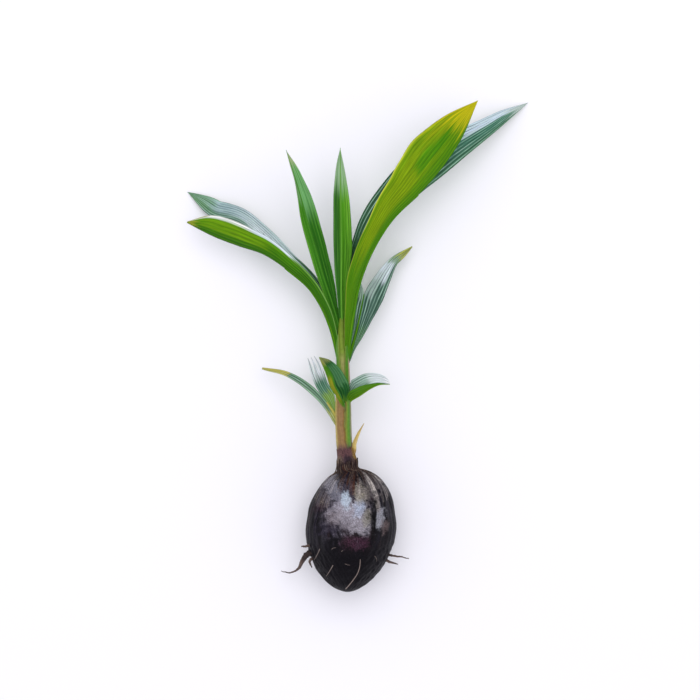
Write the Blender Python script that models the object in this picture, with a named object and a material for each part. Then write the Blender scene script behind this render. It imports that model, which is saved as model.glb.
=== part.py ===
"""A sprouted coconut, lifted bare-rooted and laid down on its side.

The nut lies on the flattest of the three sides of its husk, with the shoot along +Y.  The shoot's
leaves fan out to both sides, and the far lobes of the two large ones droop until their tips touch
the surface that the plant lies on.

Lengths below are in millimetres, measured from the collar, where the stem leaves the husk:
X to the right, Y up the stem and Z up from the surface.  The finished part is in metres, with its
origin under the middle of its box.
"""

import math
from typing import NamedTuple

import bmesh
import bpy
import numpy as np

MILLIMETRE = 0.001
CLEARANCE = 0.3                     # kept between pieces that touch
MIDDLE_OF_BOX = (18.0, 206.5, 0.0)  # from the collar to the part's origin

# The nut in its husk.
NUT_LENGTH = 203.0
NUT_WIDTH = 152.0
NUT_DEPTH = 141.0
NUT_FOOT = (1.0, -200.5)            # the pointed end, away from the stem
NUT_LEAN = 11.0                     # how far the stem end lies to the right of the foot
NUT_HEIGHT = NUT_DEPTH / 2          # of the nut's axis above the surface
BLUNTNESS_AT_STEM = 2.1             # powers of the outline's two halves, 2 being an ellipse
BLUNTNESS_AT_FOOT = 1.8
HUSK_ANGLES = 3
HUSK_ANGLE_RISE = 0.055             # how far the three angles stand out of a round section
HUSK_SIDES = 30
HUSK_RINGS = 17

# The stem: the rolled leaf sheaths, from inside the husk to the fork of the top leaves.
STEM_LINE = ((0, -14, 70), (-1, 12, 70), (-4.5, 48, 72), (-6, 98, 74), (-6, 148, 75),
             (-8, 205, 76), (-8, 250, 77))
STEM_RADII = (12.0, 12.3, 12.7, 12.7, 10.8, 10.2, 5.0)
STEM_SIDES = 18
STEM_RINGS = 24

# The dark fibrous sheath around the stem's foot.
COLLAR_LINE = ((2, -13, 70), (1, 2, 70), (0, 16, 71), (-2, 28, 71.5), (-4, 38, 72))
COLLAR_RADII = (21.0, 18.0, 16.6, 15.4, 14.2)
COLLAR_SIDES = 20
COLLAR_RINGS = 8

# The papery scale leaf that stands beside the stem's foot.
SCALE_LINE = ((4, 8, 70), (9.5, 26, 73), (12.5, 44, 76), (18.5, 60, 80), (28, 77, 85))
SCALE_RADII = (3.2, 3.4, 2.6, 1.6, 0.5)
SCALE_SIDES = 6
SCALE_RINGS = 9


class HalfBlade(NamedTuple):
    """One side of a leaf, between its midrib and its margin."""

    free_edge: tuple    # its inner edge from the cleft out to the lobe's tip
    widths: tuple       # across the blade, at even steps from the stem to the tip
    spread: tuple       # angle that it leaves the midrib at, beside the stem and at the tip
    bulge: float        # how far it bows out of flat, as a share of its width


class Leaf(NamedTuple):
    """A leaf with its petiole, which goes on up the blade as the midrib."""

    rib: tuple          # from inside the stem to the cleft, or to the tip of an uncleft leaf
    rib_radii: tuple    # beside the stem and at its end
    halves: tuple
    colour: tuple


UNDERSIDE_GREEN = (0.10, 0.30, 0.02)
GOLDEN_GREEN = (0.26, 0.42, 0.02)
TEAL_GREEN = (0.03, 0.16, 0.09)
SPEAR_GREEN = (0.07, 0.28, 0.03)

# Spread angles are read from straight right of the midrib, as the leaf grows, up to the zenith.
LEAVES = {
    "leaf_left": Leaf(
        rib=((-7, 148, 72), (-15, 186, 72), (-28, 235, 72), (-44, 271, 73), (-61, 296, 74),
             (-102, 331, 73)),
        rib_radii=(4.5, 1.8),
        halves=(
            HalfBlade(free_edge=((-140, 355, 69), (-176, 367, 64), (-218, 383, 57), (-265, 407, 48)),
                      widths=(6, 11, 19, 26, 35, 33, 0), spread=(50, 32), bulge=0.10),
            HalfBlade(free_edge=((-140, 373, 58), (-181, 407, 38), (-229, 421, 16), (-268, 462, 0.5)),
                      widths=(6, 12, 21, 27, 27, 33, 0), spread=(-25, -8), bulge=-0.06),
        ),
        colour=UNDERSIDE_GREEN),
    "leaf_right": Leaf(
        rib=((-3, 161, 74), (3, 205, 77), (10, 254, 82), (21, 308, 88), (44, 363, 94), (75, 410, 98),
             (116, 449, 100)),
        rib_radii=(5.0, 2.2),
        halves=(
            HalfBlade(free_edge=((151, 488, 103), (184, 536, 106), (213, 602, 108)),
                      widths=(6, 18, 33, 40, 66, 60, 0), spread=(125, 162), bulge=-0.08),
            HalfBlade(free_edge=((152, 478, 88), (202, 521, 66), (254, 566, 32), (304, 612, 0.5)),
                      widths=(8, 20, 38, 57, 62, 34, 0), spread=(225, 186), bulge=0.06),
        ),
        colour=GOLDEN_GREEN),
    "spear_left": Leaf(
        rib=((-9, 216, 76), (-17, 249, 75), (-26, 279, 76), (-37, 311, 80), (-51, 360, 90),
             (-65, 408, 100), (-78, 456, 115), (-98, 519, 132)),
        rib_radii=(3.5, 0.9),
        halves=(
            HalfBlade(free_edge=(), widths=(3, 6, 13, 14, 11, 4, 0), spread=(185, 155), bulge=0.08),
            HalfBlade(free_edge=(), widths=(3, 6, 12, 17, 19, 14, 0), spread=(-8, 15), bulge=-0.08),
        ),
        colour=SPEAR_GREEN),
    "spear_centre": Leaf(
        rib=((-8, 243, 79), (-9, 295, 86), (-9, 361, 85), (-10, 443, 81), (-11, 528, 80)),
        rib_radii=(3.5, 0.9),
        halves=(
            HalfBlade(free_edge=(), widths=(4, 8, 13, 14, 13, 9, 0), spread=(190, 195), bulge=0.08),
            HalfBlade(free_edge=(), widths=(6, 12, 17, 18, 14, 7, 0), spread=(5, -10), bulge=-0.08),
        ),
        colour=SPEAR_GREEN),
    "leaf_small_right": Leaf(
        rib=((-7, 160, 72), (4, 188, 65), (16, 230, 58), (23, 263, 53), (28, 289, 49)),
        rib_radii=(4.0, 1.4),
        halves=(
            HalfBlade(free_edge=((45, 318, 44), (73, 350, 36), (108, 370, 25)),
                      widths=(4, 9, 19, 32, 32, 18, 0), spread=(-10, -5), bulge=0.08),
            HalfBlade(free_edge=((26, 299, 48), (23, 308, 47)),
                      widths=(4, 5, 7, 9, 13, 13, 0), spread=(160, 170), bulge=-0.06),
        ),
        colour=TEAL_GREEN),
    "leaf_low_left": Leaf(
        rib=((-8, 66, 73), (-20, 92, 73), (-33, 111, 70)),
        rib_radii=(3.2, 2.0),
        halves=(
            HalfBlade(free_edge=((-49, 130, 66), (-73, 149, 58), (-98, 161, 48), (-141, 168, 30)),
                      widths=(5, 8, 10, 11, 9, 5, 0), spread=(170, 170), bulge=0.10),
            HalfBlade(free_edge=((-48, 131, 64), (-59, 154, 54), (-68, 184, 42)),
                      widths=(5, 9, 14, 20, 21, 20, 0), spread=(0, 0), bulge=-0.08),
        ),
        colour=TEAL_GREEN),
    "leaf_low_front": Leaf(
        rib=((-6, 92, 76), (-9, 109, 87), (-16, 122, 94), (-26, 137, 99), (-32, 155, 104),
             (-45, 185, 110)),
        rib_radii=(3.2, 1.0),
        halves=(
            HalfBlade(free_edge=(), widths=(6, 9, 13, 19, 18, 12, 0), spread=(70, 60), bulge=0.08),
            HalfBlade(free_edge=(), widths=(4, 8, 18, 27, 27, 19, 0), spread=(0, -10), bulge=-0.08),
        ),
        colour=TEAL_GREEN),
    "leaf_low_right": Leaf(
        rib=((-4, 100, 72), (6, 114, 79), (21, 123, 86), (38, 134, 90), (52, 140, 91), (70, 141, 92)),
        rib_radii=(3.2, 1.0),
        halves=(
            HalfBlade(free_edge=(), widths=(4, 7, 21, 19, 9, 3, 0), spread=(130, 140), bulge=-0.08),
            HalfBlade(free_edge=(), widths=(6, 12, 20, 28, 28, 18, 0), spread=(185, 190), bulge=0.08),
        ),
        colour=TEAL_GREEN),
}

BLADE_THICKNESS = 0.01              # beside the midrib, of the leaf's length
MARGIN_THINNING = 0.45              # how much of that thickness is gone at the margin
TIP_THINNING = 0.6                  # and at the tip
STATION_SPACING = 19.0              # between the cross-sections of a blade
FEWEST_STATIONS = 7
BLADE_COLUMNS = 4
RIB_SIDES = 6

# Roots: tapering strands that leave the husk's lower half.
ROOTS = {
    "root_left": (((-52, -134, 70), (-65, -139, 67), (-73, -150, 58), (-79, -163, 46), (-86, -170, 36),
                   (-97, -174, 26), (-110, -172, 20)), (5.0, 4.6, 3.6, 2.6, 1.8, 1.2, 0.6)),
    "root_left_fork": (((-50, -142, 76), (-61, -149, 72), (-58, -161, 64)), (3.2, 2.4, 0.9)),
    "root_left_stub": (((-55, -122, 76), (-70, -125, 78), (-75, -125, 78)), (3.0, 2.0, 0.9)),
    "root_right": (((60, -137, 66), (76, -142, 63), (88, -144, 58), (102, -148, 50)),
                   (3.2, 2.0, 1.4, 0.7)),
    "root_right_stub": (((56, -146, 58), (71, -153, 55), (84, -157, 50)), (3.4, 2.4, 0.8)),
}
ROOT_SIDES = 6
ROOT_RINGS_PER_POINT = 3

HUSK_BROWN = (0.035, 0.022, 0.028)
COLLAR_BROWN = (0.09, 0.045, 0.03)
STEM_TAN = (0.34, 0.25, 0.09)
SCALE_STRAW = (0.62, 0.47, 0.18)
ROOT_BROWN = (0.16, 0.11, 0.08)


def smooth_values(knots, reach, places):
    """Return values at the wanted places of a smooth curve that passes each knot at its reach."""
    knots = np.array(knots, float).reshape(len(reach), -1)
    slopes = np.gradient(knots, reach, axis=0)
    left = np.clip(np.searchsorted(reach, places, side="right") - 1, 0, len(reach) - 2)
    span = (reach[left + 1] - reach[left])[:, None]
    u = (places - reach[left])[:, None] / span
    return ((1 + 2 * u) * (1 - u) ** 2 * knots[left] + u * (1 - u) ** 2 * span * slopes[left]
            + u * u * (3 - 2 * u) * knots[left + 1] + u * u * (u - 1) * span * slopes[left + 1])


def distances_along(points):
    """Return how far each point lies along the line through them."""
    steps = np.linalg.norm(np.diff(np.array(points, float), axis=0), axis=1)
    return np.concatenate([[0.0], np.cumsum(steps)])


def smooth_line(points, count):
    """Return evenly spaced places on a smooth curve through the given points."""
    reach = distances_along(points)
    curve = smooth_values(points, reach, np.linspace(0.0, reach[-1], 400))
    walked = distances_along(curve)
    wanted = np.linspace(0.0, walked[-1], count)
    return np.stack([np.interp(wanted, walked, curve[:, axis]) for axis in range(3)], axis=1)


def unit(vectors):
    """Return vectors scaled to length one."""
    return vectors / np.linalg.norm(vectors, axis=-1, keepdims=True)


def cross_frames(line):
    """Return each place's heading, the level direction right of it and the one above both."""
    heading = unit(np.gradient(line, axis=0))
    right = unit(np.cross(heading, [0.0, 0.0, 1.0]))
    above = np.cross(right, heading)
    return heading, right, above


def make_object(name, vertices, faces, colour, roughness):
    """Make an object in the scene from millimetre vertices, with a material of its own."""
    mesh = bpy.data.meshes.new(name)
    mesh.from_pydata((np.array(vertices) - MIDDLE_OF_BOX) * MILLIMETRE, [], faces)
    work = bmesh.new()
    work.from_mesh(mesh)
    bmesh.ops.recalc_face_normals(work, faces=work.faces)
    work.to_mesh(mesh)
    work.free()
    mesh.shade_smooth()
    mesh.set_sharp_from_angle(angle=math.radians(50))
    piece = bpy.data.objects.new(name, mesh)
    bpy.context.scene.collection.objects.link(piece)
    material = bpy.data.materials.new(name)
    material.use_nodes = True
    shader = material.node_tree.nodes["Principled BSDF"]
    shader.inputs["Base Color"].default_value = (*colour, 1.0)
    shader.inputs["Roughness"].default_value = roughness
    shader.inputs["Metallic"].default_value = 0.0
    mesh.materials.append(material)
    return piece


def tube_faces(rings, sides):
    """Return the side faces and the two flat ends of a stack of rings."""
    faces = []
    for ring in range(rings - 1):
        for side in range(sides):
            after = (side + 1) % sides
            faces.append((ring * sides + side, ring * sides + after,
                          (ring + 1) * sides + after, (ring + 1) * sides + side))
    faces.append(tuple(range(sides)))
    faces.append(tuple(range((rings - 1) * sides, rings * sides)))
    return faces


def limb(name, points, radii, sides, rings, colour, roughness=0.6, extra=0.0):
    """Make a tapering round limb along a smooth line."""
    line = smooth_line(points, rings)
    reach = distances_along(points)
    thickness = np.interp(np.linspace(0.0, reach[-1], rings), reach, radii) + extra
    heading, right, above = cross_frames(line)
    line[0] -= extra * heading[0]
    line[-1] += extra * heading[-1]
    angles = np.arange(sides) * (2 * math.pi / sides)
    circle = (np.cos(angles)[None, :, None] * right[:, None, :]
              + np.sin(angles)[None, :, None] * above[:, None, :])
    vertices = (line[:, None, :] + circle * thickness[:, None, None]).reshape(-1, 3)
    return make_object(name, vertices, tube_faces(rings, sides), colour, roughness)


def husk_ring(share, extra):
    """Return one cross-section of the husk, at a share of its length from its foot."""
    from_middle = 2.0 * share - 1.0
    power = BLUNTNESS_AT_STEM if from_middle > 0 else BLUNTNESS_AT_FOOT
    fullness = (1.0 - abs(from_middle) ** power) ** (1.0 / power)
    angles = np.arange(HUSK_SIDES) * (2 * math.pi / HUSK_SIDES) + math.pi / 2
    outline = 1.0 + HUSK_ANGLE_RISE * np.cos(HUSK_ANGLES * (angles - math.pi / 2))
    across = outline * np.cos(angles)
    upward = outline * np.sin(angles)
    across *= 1.0 / np.max(np.abs(across))
    upward *= 2.0 / (np.max(upward) - np.min(upward))
    upward -= np.min(upward) + 1.0
    x = NUT_FOOT[0] + NUT_LEAN * share + across * (fullness * NUT_WIDTH / 2 + extra)
    y = np.full(HUSK_SIDES, NUT_FOOT[1] + NUT_LENGTH * share + extra * from_middle)
    z = NUT_HEIGHT + upward * (fullness * NUT_DEPTH / 2 + extra)
    return np.stack([x, y, z], axis=1)


def husk(name, extra=0.0):
    """Make the nut in its husk, with rings that close up towards both ends."""
    steps = np.linspace(0.0, math.pi, HUSK_RINGS + 2)[1:-1]
    shares = (1.0 - np.cos(steps)) / 2
    vertices = np.concatenate([husk_ring(share, extra) for share in shares])
    return make_object(name, vertices, tube_faces(HUSK_RINGS, HUSK_SIDES), HUSK_BROWN, 0.3)


def half_blade(name, rib, half, thickness, colour):
    """Make one half of a leaf's blade as a thin closed sheet that ends in a point."""
    edge = list(rib) + list(half.free_edge)
    rows = max(FEWEST_STATIONS, round(distances_along(edge)[-1] / STATION_SPACING) + 1)
    line = smooth_line(edge, rows)
    _, right, above = cross_frames(line)
    share = np.linspace(0.0, 1.0, rows)
    angle = np.radians(half.spread[0] + (half.spread[1] - half.spread[0]) * share)[:, None]
    outward = np.cos(angle) * right + np.sin(angle) * above
    face = -np.sin(angle) * right + np.cos(angle) * above
    width = smooth_values(half.widths, np.linspace(0.0, 1.0, len(half.widths)), share)[:, 0]
    across = np.linspace(0.0, 1.0, BLADE_COLUMNS + 1)
    sheet = (line[:, None, :] + (width[:, None] * across[None, :])[:, :, None] * outward[:, None, :]
             + (half.bulge * width[:, None] * (4 * across * (1 - across))[None, :])[:, :, None]
             * face[:, None, :])
    depth = 0.5 * thickness * (1.0 - MARGIN_THINNING * across ** 2)[None, :, None]
    depth = depth * (1.0 - TIP_THINNING * share ** 3)[:, None, None]
    upper = (sheet + depth * face[:, None, :])[:-1]
    lower = (sheet - depth * face[:, None, :])[:-1]
    tip = line[-1]
    stations = rows - 1
    columns = BLADE_COLUMNS + 1
    vertices = np.concatenate([upper.reshape(-1, 3), lower.reshape(-1, 3), tip[None, :]])
    under = stations * columns
    point = 2 * stations * columns
    faces = []
    for row in range(stations - 1):
        for column in range(BLADE_COLUMNS):
            corner = row * columns + column
            quad = (corner, corner + 1, corner + columns + 1, corner + columns)
            faces.append(quad)
            faces.append(tuple(under + index for index in reversed(quad)))
        for edge_column in (0, BLADE_COLUMNS):
            corner = row * columns + edge_column
            faces.append((corner, corner + columns, under + corner + columns, under + corner))
    last = (stations - 1) * columns
    for column in range(BLADE_COLUMNS):
        faces.append((column, column + 1, under + column + 1, under + column))
        faces.append((last + column, last + column + 1, point))
        faces.append((under + last + column, under + last + column + 1, point))
    for edge_column in (0, BLADE_COLUMNS):
        faces.append((last + edge_column, under + last + edge_column, point))
    return make_object(name, vertices, faces, colour, 0.45)


def keep_result(piece):
    """Replace a piece's mesh by what its modifiers make of it."""
    evaluated = piece.evaluated_get(bpy.context.evaluated_depsgraph_get())
    mesh = bpy.data.meshes.new_from_object(evaluated)
    piece.modifiers.clear()
    piece.data = mesh


def remove(piece):
    """Take a helper object out of the scene."""
    bpy.data.objects.remove(piece, do_unlink=True)


def cut_by(piece, cutter):
    """Take the cutter's space out of a piece."""
    cut = piece.modifiers.new("cut", "BOOLEAN")
    cut.operation = "DIFFERENCE"
    cut.solver = "EXACT"
    cut.object = cutter
    keep_result(piece)


def join_all(piece, others):
    """Join other pieces into one by a single union."""
    group = bpy.data.collections.new(piece.name + "_parts")
    for other in others:
        group.objects.link(other)
    union = piece.modifiers.new("join", "BOOLEAN")
    union.operation = "UNION"
    union.solver = "EXACT"
    union.operand_type = "COLLECTION"
    union.collection = group
    keep_result(piece)
    for other in others:
        remove(other)
    bpy.data.collections.remove(group)


def span(body):
    """Return the diagonal of the box around some vertices."""
    places = np.array([vertex.co for vertex in body])
    return float(np.linalg.norm(places.max(axis=0) - places.min(axis=0)))


def keep_largest(piece):
    """Drop the scraps that a cut leaves beside a piece's main body."""
    work = bmesh.new()
    work.from_mesh(piece.data)
    left = set(work.verts)
    bodies = []
    while left:
        body = set()
        queue = [left.pop()]
        while queue:
            vertex = queue.pop()
            body.add(vertex)
            for edge in vertex.link_edges:
                other = edge.other_vert(vertex)
                if other in left:
                    left.remove(other)
                    queue.append(other)
        bodies.append(body)
    bodies.sort(key=span)
    for body in bodies[:-1]:
        bmesh.ops.delete(work, geom=list(body), context="VERTS")
    work.to_mesh(piece.data)
    work.free()


def leaf(name, spec):
    """Make one leaf: petiole and midrib joined with the two half-blades."""
    end = np.array(spec.rib[-1], float)
    last_step = end - spec.rib[-2]
    rib_end = end + last_step * (spec.rib_radii[1] / np.linalg.norm(last_step))
    longest = max(distances_along(spec.rib + half.free_edge)[-1] for half in spec.halves)
    thickness = BLADE_THICKNESS * longest
    rib = spec.rib[:-1] + (tuple(rib_end),)
    reach = distances_along(rib)
    radii = np.interp(reach, (0.0, reach[-1]), spec.rib_radii)
    rings = max(FEWEST_STATIONS, round(reach[-1] / STATION_SPACING) + 1)
    piece = limb(name, rib, radii, RIB_SIDES, rings, spec.colour, roughness=0.45)
    halves = [half_blade(f"{name}_half_{index}", spec.rib, half, thickness, spec.colour)
              for index, half in enumerate(spec.halves)]
    join_all(piece, halves)
    return piece


def main():
    """Build the plant from the nut up."""
    for existing in list(bpy.data.objects):
        bpy.data.objects.remove(existing, do_unlink=True)

    husk_piece = husk("husk")
    husk_cutter = husk("husk_space", extra=CLEARANCE)
    stem_sizes = (STEM_LINE, STEM_RADII, STEM_SIDES, STEM_RINGS, STEM_TAN)
    limb("stem", *stem_sizes)
    stem_cutter = limb("stem_space", *stem_sizes, extra=CLEARANCE)
    cut_by(husk_piece, stem_cutter)
    collar_sizes = (COLLAR_LINE, COLLAR_RADII, COLLAR_SIDES, COLLAR_RINGS, COLLAR_BROWN)
    collar = limb("collar_sheath", *collar_sizes, roughness=0.8)
    collar_cutter = limb("collar_space", *collar_sizes, extra=CLEARANCE)
    cut_by(collar, husk_cutter)
    cut_by(collar, stem_cutter)
    keep_largest(collar)
    scale = limb("scale_leaf", SCALE_LINE, SCALE_RADII, SCALE_SIDES, SCALE_RINGS, SCALE_STRAW)
    cut_by(scale, collar_cutter)
    cut_by(scale, stem_cutter)
    keep_largest(scale)
    for name, spec in LEAVES.items():
        piece = leaf(name, spec)
        cut_by(piece, stem_cutter)
        keep_largest(piece)
    root_spaces = []
    for name, (points, radii) in ROOTS.items():
        sizes = (points, radii, ROOT_SIDES, ROOT_RINGS_PER_POINT * len(points), ROOT_BROWN)
        root = limb(name, *sizes, roughness=0.7)
        for space in (husk_cutter, *root_spaces):
            cut_by(root, space)
        keep_largest(root)
        root_spaces.append(limb(name + "_space", *sizes, extra=CLEARANCE))
    for cutter in (husk_cutter, stem_cutter, collar_cutter, *root_spaces):
        remove(cutter)


main()
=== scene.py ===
"""Looks of a sprouted coconut that lies bare-rooted on a pale floor, seen from straight above.

Every piece is built in millimetres from the collar, where the stem leaves the husk: X to the
right, Y up the stem and Z up from the floor.  The part's own frame has its origin under the
middle of the box, so each piece is moved by the same amount when it is made.
"""

import logging
import math
from dataclasses import dataclass
from enum import Enum
from typing import Any

import bpy
import numpy as np
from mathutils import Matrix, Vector
from mathutils.bvhtree import BVHTree


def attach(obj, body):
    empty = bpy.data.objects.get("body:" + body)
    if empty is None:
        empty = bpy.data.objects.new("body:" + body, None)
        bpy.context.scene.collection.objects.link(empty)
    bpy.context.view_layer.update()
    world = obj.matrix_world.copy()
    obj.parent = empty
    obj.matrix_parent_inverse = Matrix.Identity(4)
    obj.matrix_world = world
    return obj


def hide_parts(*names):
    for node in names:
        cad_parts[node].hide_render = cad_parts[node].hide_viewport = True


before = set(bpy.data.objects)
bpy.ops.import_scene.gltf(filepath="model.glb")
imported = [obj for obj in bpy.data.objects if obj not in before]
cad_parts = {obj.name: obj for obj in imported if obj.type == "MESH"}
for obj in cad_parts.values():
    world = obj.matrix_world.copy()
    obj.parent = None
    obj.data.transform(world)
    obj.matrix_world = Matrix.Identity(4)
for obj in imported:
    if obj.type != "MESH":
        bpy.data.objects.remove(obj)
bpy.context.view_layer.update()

BODY = "root"

MILLIMETRE = 0.001
MIDDLE_OF_BOX = np.array((18.0, 206.5, 0.0))     # from the collar to the part's origin
FULL_TURN = 2.0 * math.pi

Array = np.ndarray
Points = tuple[tuple[float, float, float], ...]
Colour = tuple[float, float, float, float]

log = logging.getLogger("sprouted_coconut")


class Side(Enum):
    """The two faces of a palm leaf: the upper one is waxed, and the lower one matte."""

    UPPER = 0
    UNDER = 1


def linear(code: str) -> Colour:
    """Turn an sRGB hex code into Blender's linear colour.

    Args:
        code: The colour as "#rrggbb".

    Returns:
        Red, green, blue and an alpha of one.
    """
    channels = [int(code[at:at + 2], 16) / 255 for at in (1, 3, 5)]
    return (*[c / 12.92 if c <= 0.04045 else ((c + 0.055) / 1.055) ** 2.4 for c in channels], 1.0)


def add_node(tree: bpy.types.NodeTree, kind: str, settings: dict[Any, Any] | None = None,
             links: dict[Any, bpy.types.NodeSocket] | None = None) -> bpy.types.Node:
    """Add a node to a tree with its settings and its incoming links.

    Args:
        tree: The node tree.
        kind: Blender's name of the node's type.
        settings: Input sockets' values by name or number, and the node's own properties; "stops"
            holds the places and hex codes of a colour ramp.
        links: Output sockets by the input that each one feeds.

    Returns:
        The new node.
    """
    node = tree.nodes.new(kind)
    for name, value in (settings or {}).items():
        if name == "stops":
            ramp = node.color_ramp
            while len(ramp.elements) < len(value):
                ramp.elements.new(0.5)
            for element, (place, code) in zip(ramp.elements, value):
                element.position = place
                element.color = linear(code)
        elif isinstance(name, int) or name in node.inputs:
            node.inputs[name].default_value = value
        else:
            setattr(node, name, value)
    for name, socket in (links or {}).items():
        tree.links.new(socket, node.inputs[name])
    return node


def window(values: Array, start: float, end: float, soft: float) -> Array:
    """Return 1 between two limits, falling smoothly to 0 over the soft width outside them."""
    rise = np.clip((values - start) / soft + 1.0, 0.0, 1.0)
    fall = np.clip((end - values) / soft + 1.0, 0.0, 1.0)
    both = rise * fall
    return both * both * (3.0 - 2.0 * both)


def ripple(places: Array, wavelength: float, seed: int) -> Array:
    """Return smooth noise between about -1 and 1, as a sum of seeded waves.

    Args:
        places: Points, with any number of coordinates in their last axis.
        wavelength: Typical distance from crest to crest, in the points' unit.
        seed: Chooses the pattern.

    Returns:
        One value for each point.
    """
    chance = np.random.default_rng(seed)
    total = np.zeros(places.shape[:-1])
    for _ in range(10):
        direction = chance.normal(size=places.shape[-1])
        direction *= FULL_TURN / (wavelength * chance.uniform(0.6, 1.7) * np.linalg.norm(direction))
        total += np.sin(places @ direction + chance.uniform(0.0, FULL_TURN))
    return total / 4.5


def smooth_values(knots: Array, reach: Array, places: Array) -> Array:
    """Return values at the wanted places of a smooth curve that passes each knot at its reach."""
    knots = np.array(knots, float).reshape(len(reach), -1)
    slopes = np.gradient(knots, reach, axis=0)
    left = np.clip(np.searchsorted(reach, places, side="right") - 1, 0, len(reach) - 2)
    span = (reach[left + 1] - reach[left])[:, None]
    u = (places - reach[left])[:, None] / span
    return ((1 + 2 * u) * (1 - u) ** 2 * knots[left] + u * (1 - u) ** 2 * span * slopes[left]
            + u * u * (3 - 2 * u) * knots[left + 1] + u * u * (u - 1) * span * slopes[left + 1])


def distances_along(points: Any) -> Array:
    """Return how far each point lies along the line through them."""
    steps = np.linalg.norm(np.diff(np.array(points, float), axis=0), axis=1)
    return np.concatenate([[0.0], np.cumsum(steps)])


def smooth_line(points: Any, count: int) -> Array:
    """Return evenly spaced places on a smooth curve through the given points."""
    reach = distances_along(points)
    curve = smooth_values(points, reach, np.linspace(0.0, reach[-1], 400))
    walked = distances_along(curve)
    wanted = np.linspace(0.0, walked[-1], count)
    return np.stack([np.interp(wanted, walked, curve[:, axis]) for axis in range(3)], axis=1)


def unit(vectors: Array) -> Array:
    """Return vectors scaled to length one."""
    return vectors / np.linalg.norm(vectors, axis=-1, keepdims=True)


def cross_frames(line: Array) -> tuple[Array, Array]:
    """Return, for each place on a line, the level direction right of it and the one above it."""
    heading = unit(np.gradient(line, axis=0))
    right = unit(np.cross(heading, [0.0, 0.0, 1.0]))
    return right, np.cross(right, heading)


def tube(line: Array, radii: Array, sides: int) -> Array:
    """Return the rings of a round tube, closed at both ends.

    Args:
        line: The tube's centre line.
        radii: One radius a ring, or one for each ring and side.
        sides: Points in a ring.

    Returns:
        Places by ring and side, with two more rings that close the ends.
    """
    right, above = cross_frames(line)
    angles = np.arange(sides) * (FULL_TURN / sides)
    circle = np.cos(angles)[None, :, None] * right[:, None] + np.sin(angles)[None, :, None] * above[:, None]
    radii = np.array(radii, float).reshape(len(line), -1)
    return close_ends(line[:, None] + circle * radii[:, :, None])


def close_ends(rings: Array) -> Array:
    """Add a tiny ring at both ends of a stack of rings, which closes them."""
    shrunk = [ring.mean(axis=0) + 0.02 * (ring - ring.mean(axis=0)) for ring in (rings[0], rings[-1])]
    return np.concatenate([shrunk[0][None], rings, shrunk[1][None]])


def pad_ends(values: Array) -> Array:
    """Repeat the first and last row, for the rings that close_ends adds."""
    return np.concatenate([values[:1], values, values[-1:]])


@dataclass
class Shell:
    """A closed skin: rings of places, with a pattern coordinate, a colour and a slot."""

    rings: Array        # rings x sides x 3, in millimetres
    pattern: Array      # rings x (sides + 1) x 2, where the last column closes the ring
    colour: Array       # rings x sides x 4, linear, with a pale whitening as alpha: waxy bloom, and painted sheen on the waxed faces
    slots: Array        # sides, the material slot of each strip of faces

    def quads(self) -> Array:
        """Return the vertex numbers of each face, facing outwards."""
        rings, sides = self.rings.shape[:2]
        row, side = np.meshgrid(np.arange(rings - 1), np.arange(sides), indexing="ij")
        after = (side + 1) % sides
        faces = np.stack([row * sides + side, row * sides + after,
                          (row + 1) * sides + after, (row + 1) * sides + side], axis=-1)
        return faces.reshape(-1, 4)

    def corner_pattern(self) -> Array:
        """Return the pattern coordinate of each face's corners, in the order of quads."""
        p = self.pattern
        return np.stack([p[:-1, :-1], p[:-1, 1:], p[1:, 1:], p[1:, :-1]], axis=2).reshape(-1, 4, 2)


def make_piece(name: str, shells: list[Shell], materials: list[bpy.types.Material],
               replaces: tuple[str, ...]) -> bpy.types.Object:
    """Join shells into one smooth piece that rides on the plant and stands for CAD nodes.

    Args:
        name: The piece's name.
        shells: Its skins.
        materials: One for each slot that the shells name.
        replaces: The CAD nodes that it stands for, which may be none.

    Returns:
        The new object.
    """
    faces, corners, slots, count = [], [], [], 0
    for shell in shells:
        quads, uv = shell.quads(), shell.corner_pattern()
        points = shell.rings.reshape(-1, 3)
        a, b, c = (points[quads[:, at]] - points.mean(axis=0) for at in (0, 1, 2))
        if np.einsum("ij,ij->", a, np.cross(b, c)) < 0.0:
            quads, uv = quads[:, ::-1], uv[:, ::-1]
        faces.append(quads + count)
        corners.append(uv)
        slots.append(np.tile(shell.slots, shell.rings.shape[0] - 1))
        count += len(points)
    quads = np.concatenate(faces)
    places = np.concatenate([shell.rings.reshape(-1, 3) for shell in shells])
    mesh = bpy.data.meshes.new(name)
    mesh.vertices.add(count)
    mesh.vertices.foreach_set("co", ((places - MIDDLE_OF_BOX) * MILLIMETRE).astype(np.float32).ravel())
    mesh.loops.add(quads.size)
    mesh.loops.foreach_set("vertex_index", quads.astype(np.int32).ravel())
    mesh.polygons.add(len(quads))
    mesh.polygons.foreach_set("loop_start", np.arange(0, quads.size, 4, dtype=np.int32))
    mesh.polygons.foreach_set("material_index", np.concatenate(slots).astype(np.int32))
    mesh.update(calc_edges=True)
    layer = mesh.uv_layers.new(name="pattern")
    layer.data.foreach_set("uv", np.concatenate(corners).astype(np.float32).ravel())
    tone = mesh.attributes.new("tone", "FLOAT_COLOR", "POINT")
    colours = np.concatenate([shell.colour.reshape(-1, 4) for shell in shells])
    tone.data.foreach_set("color", colours.astype(np.float32).ravel())
    mesh.shade_smooth()
    for material in materials:
        mesh.materials.append(material)
    piece = bpy.data.objects.new(name, mesh)
    bpy.context.scene.collection.objects.link(piece)
    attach(piece, BODY)
    if replaces:
        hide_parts(*replaces)
    log.info("%s: %d faces", name, len(quads))
    return piece


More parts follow.
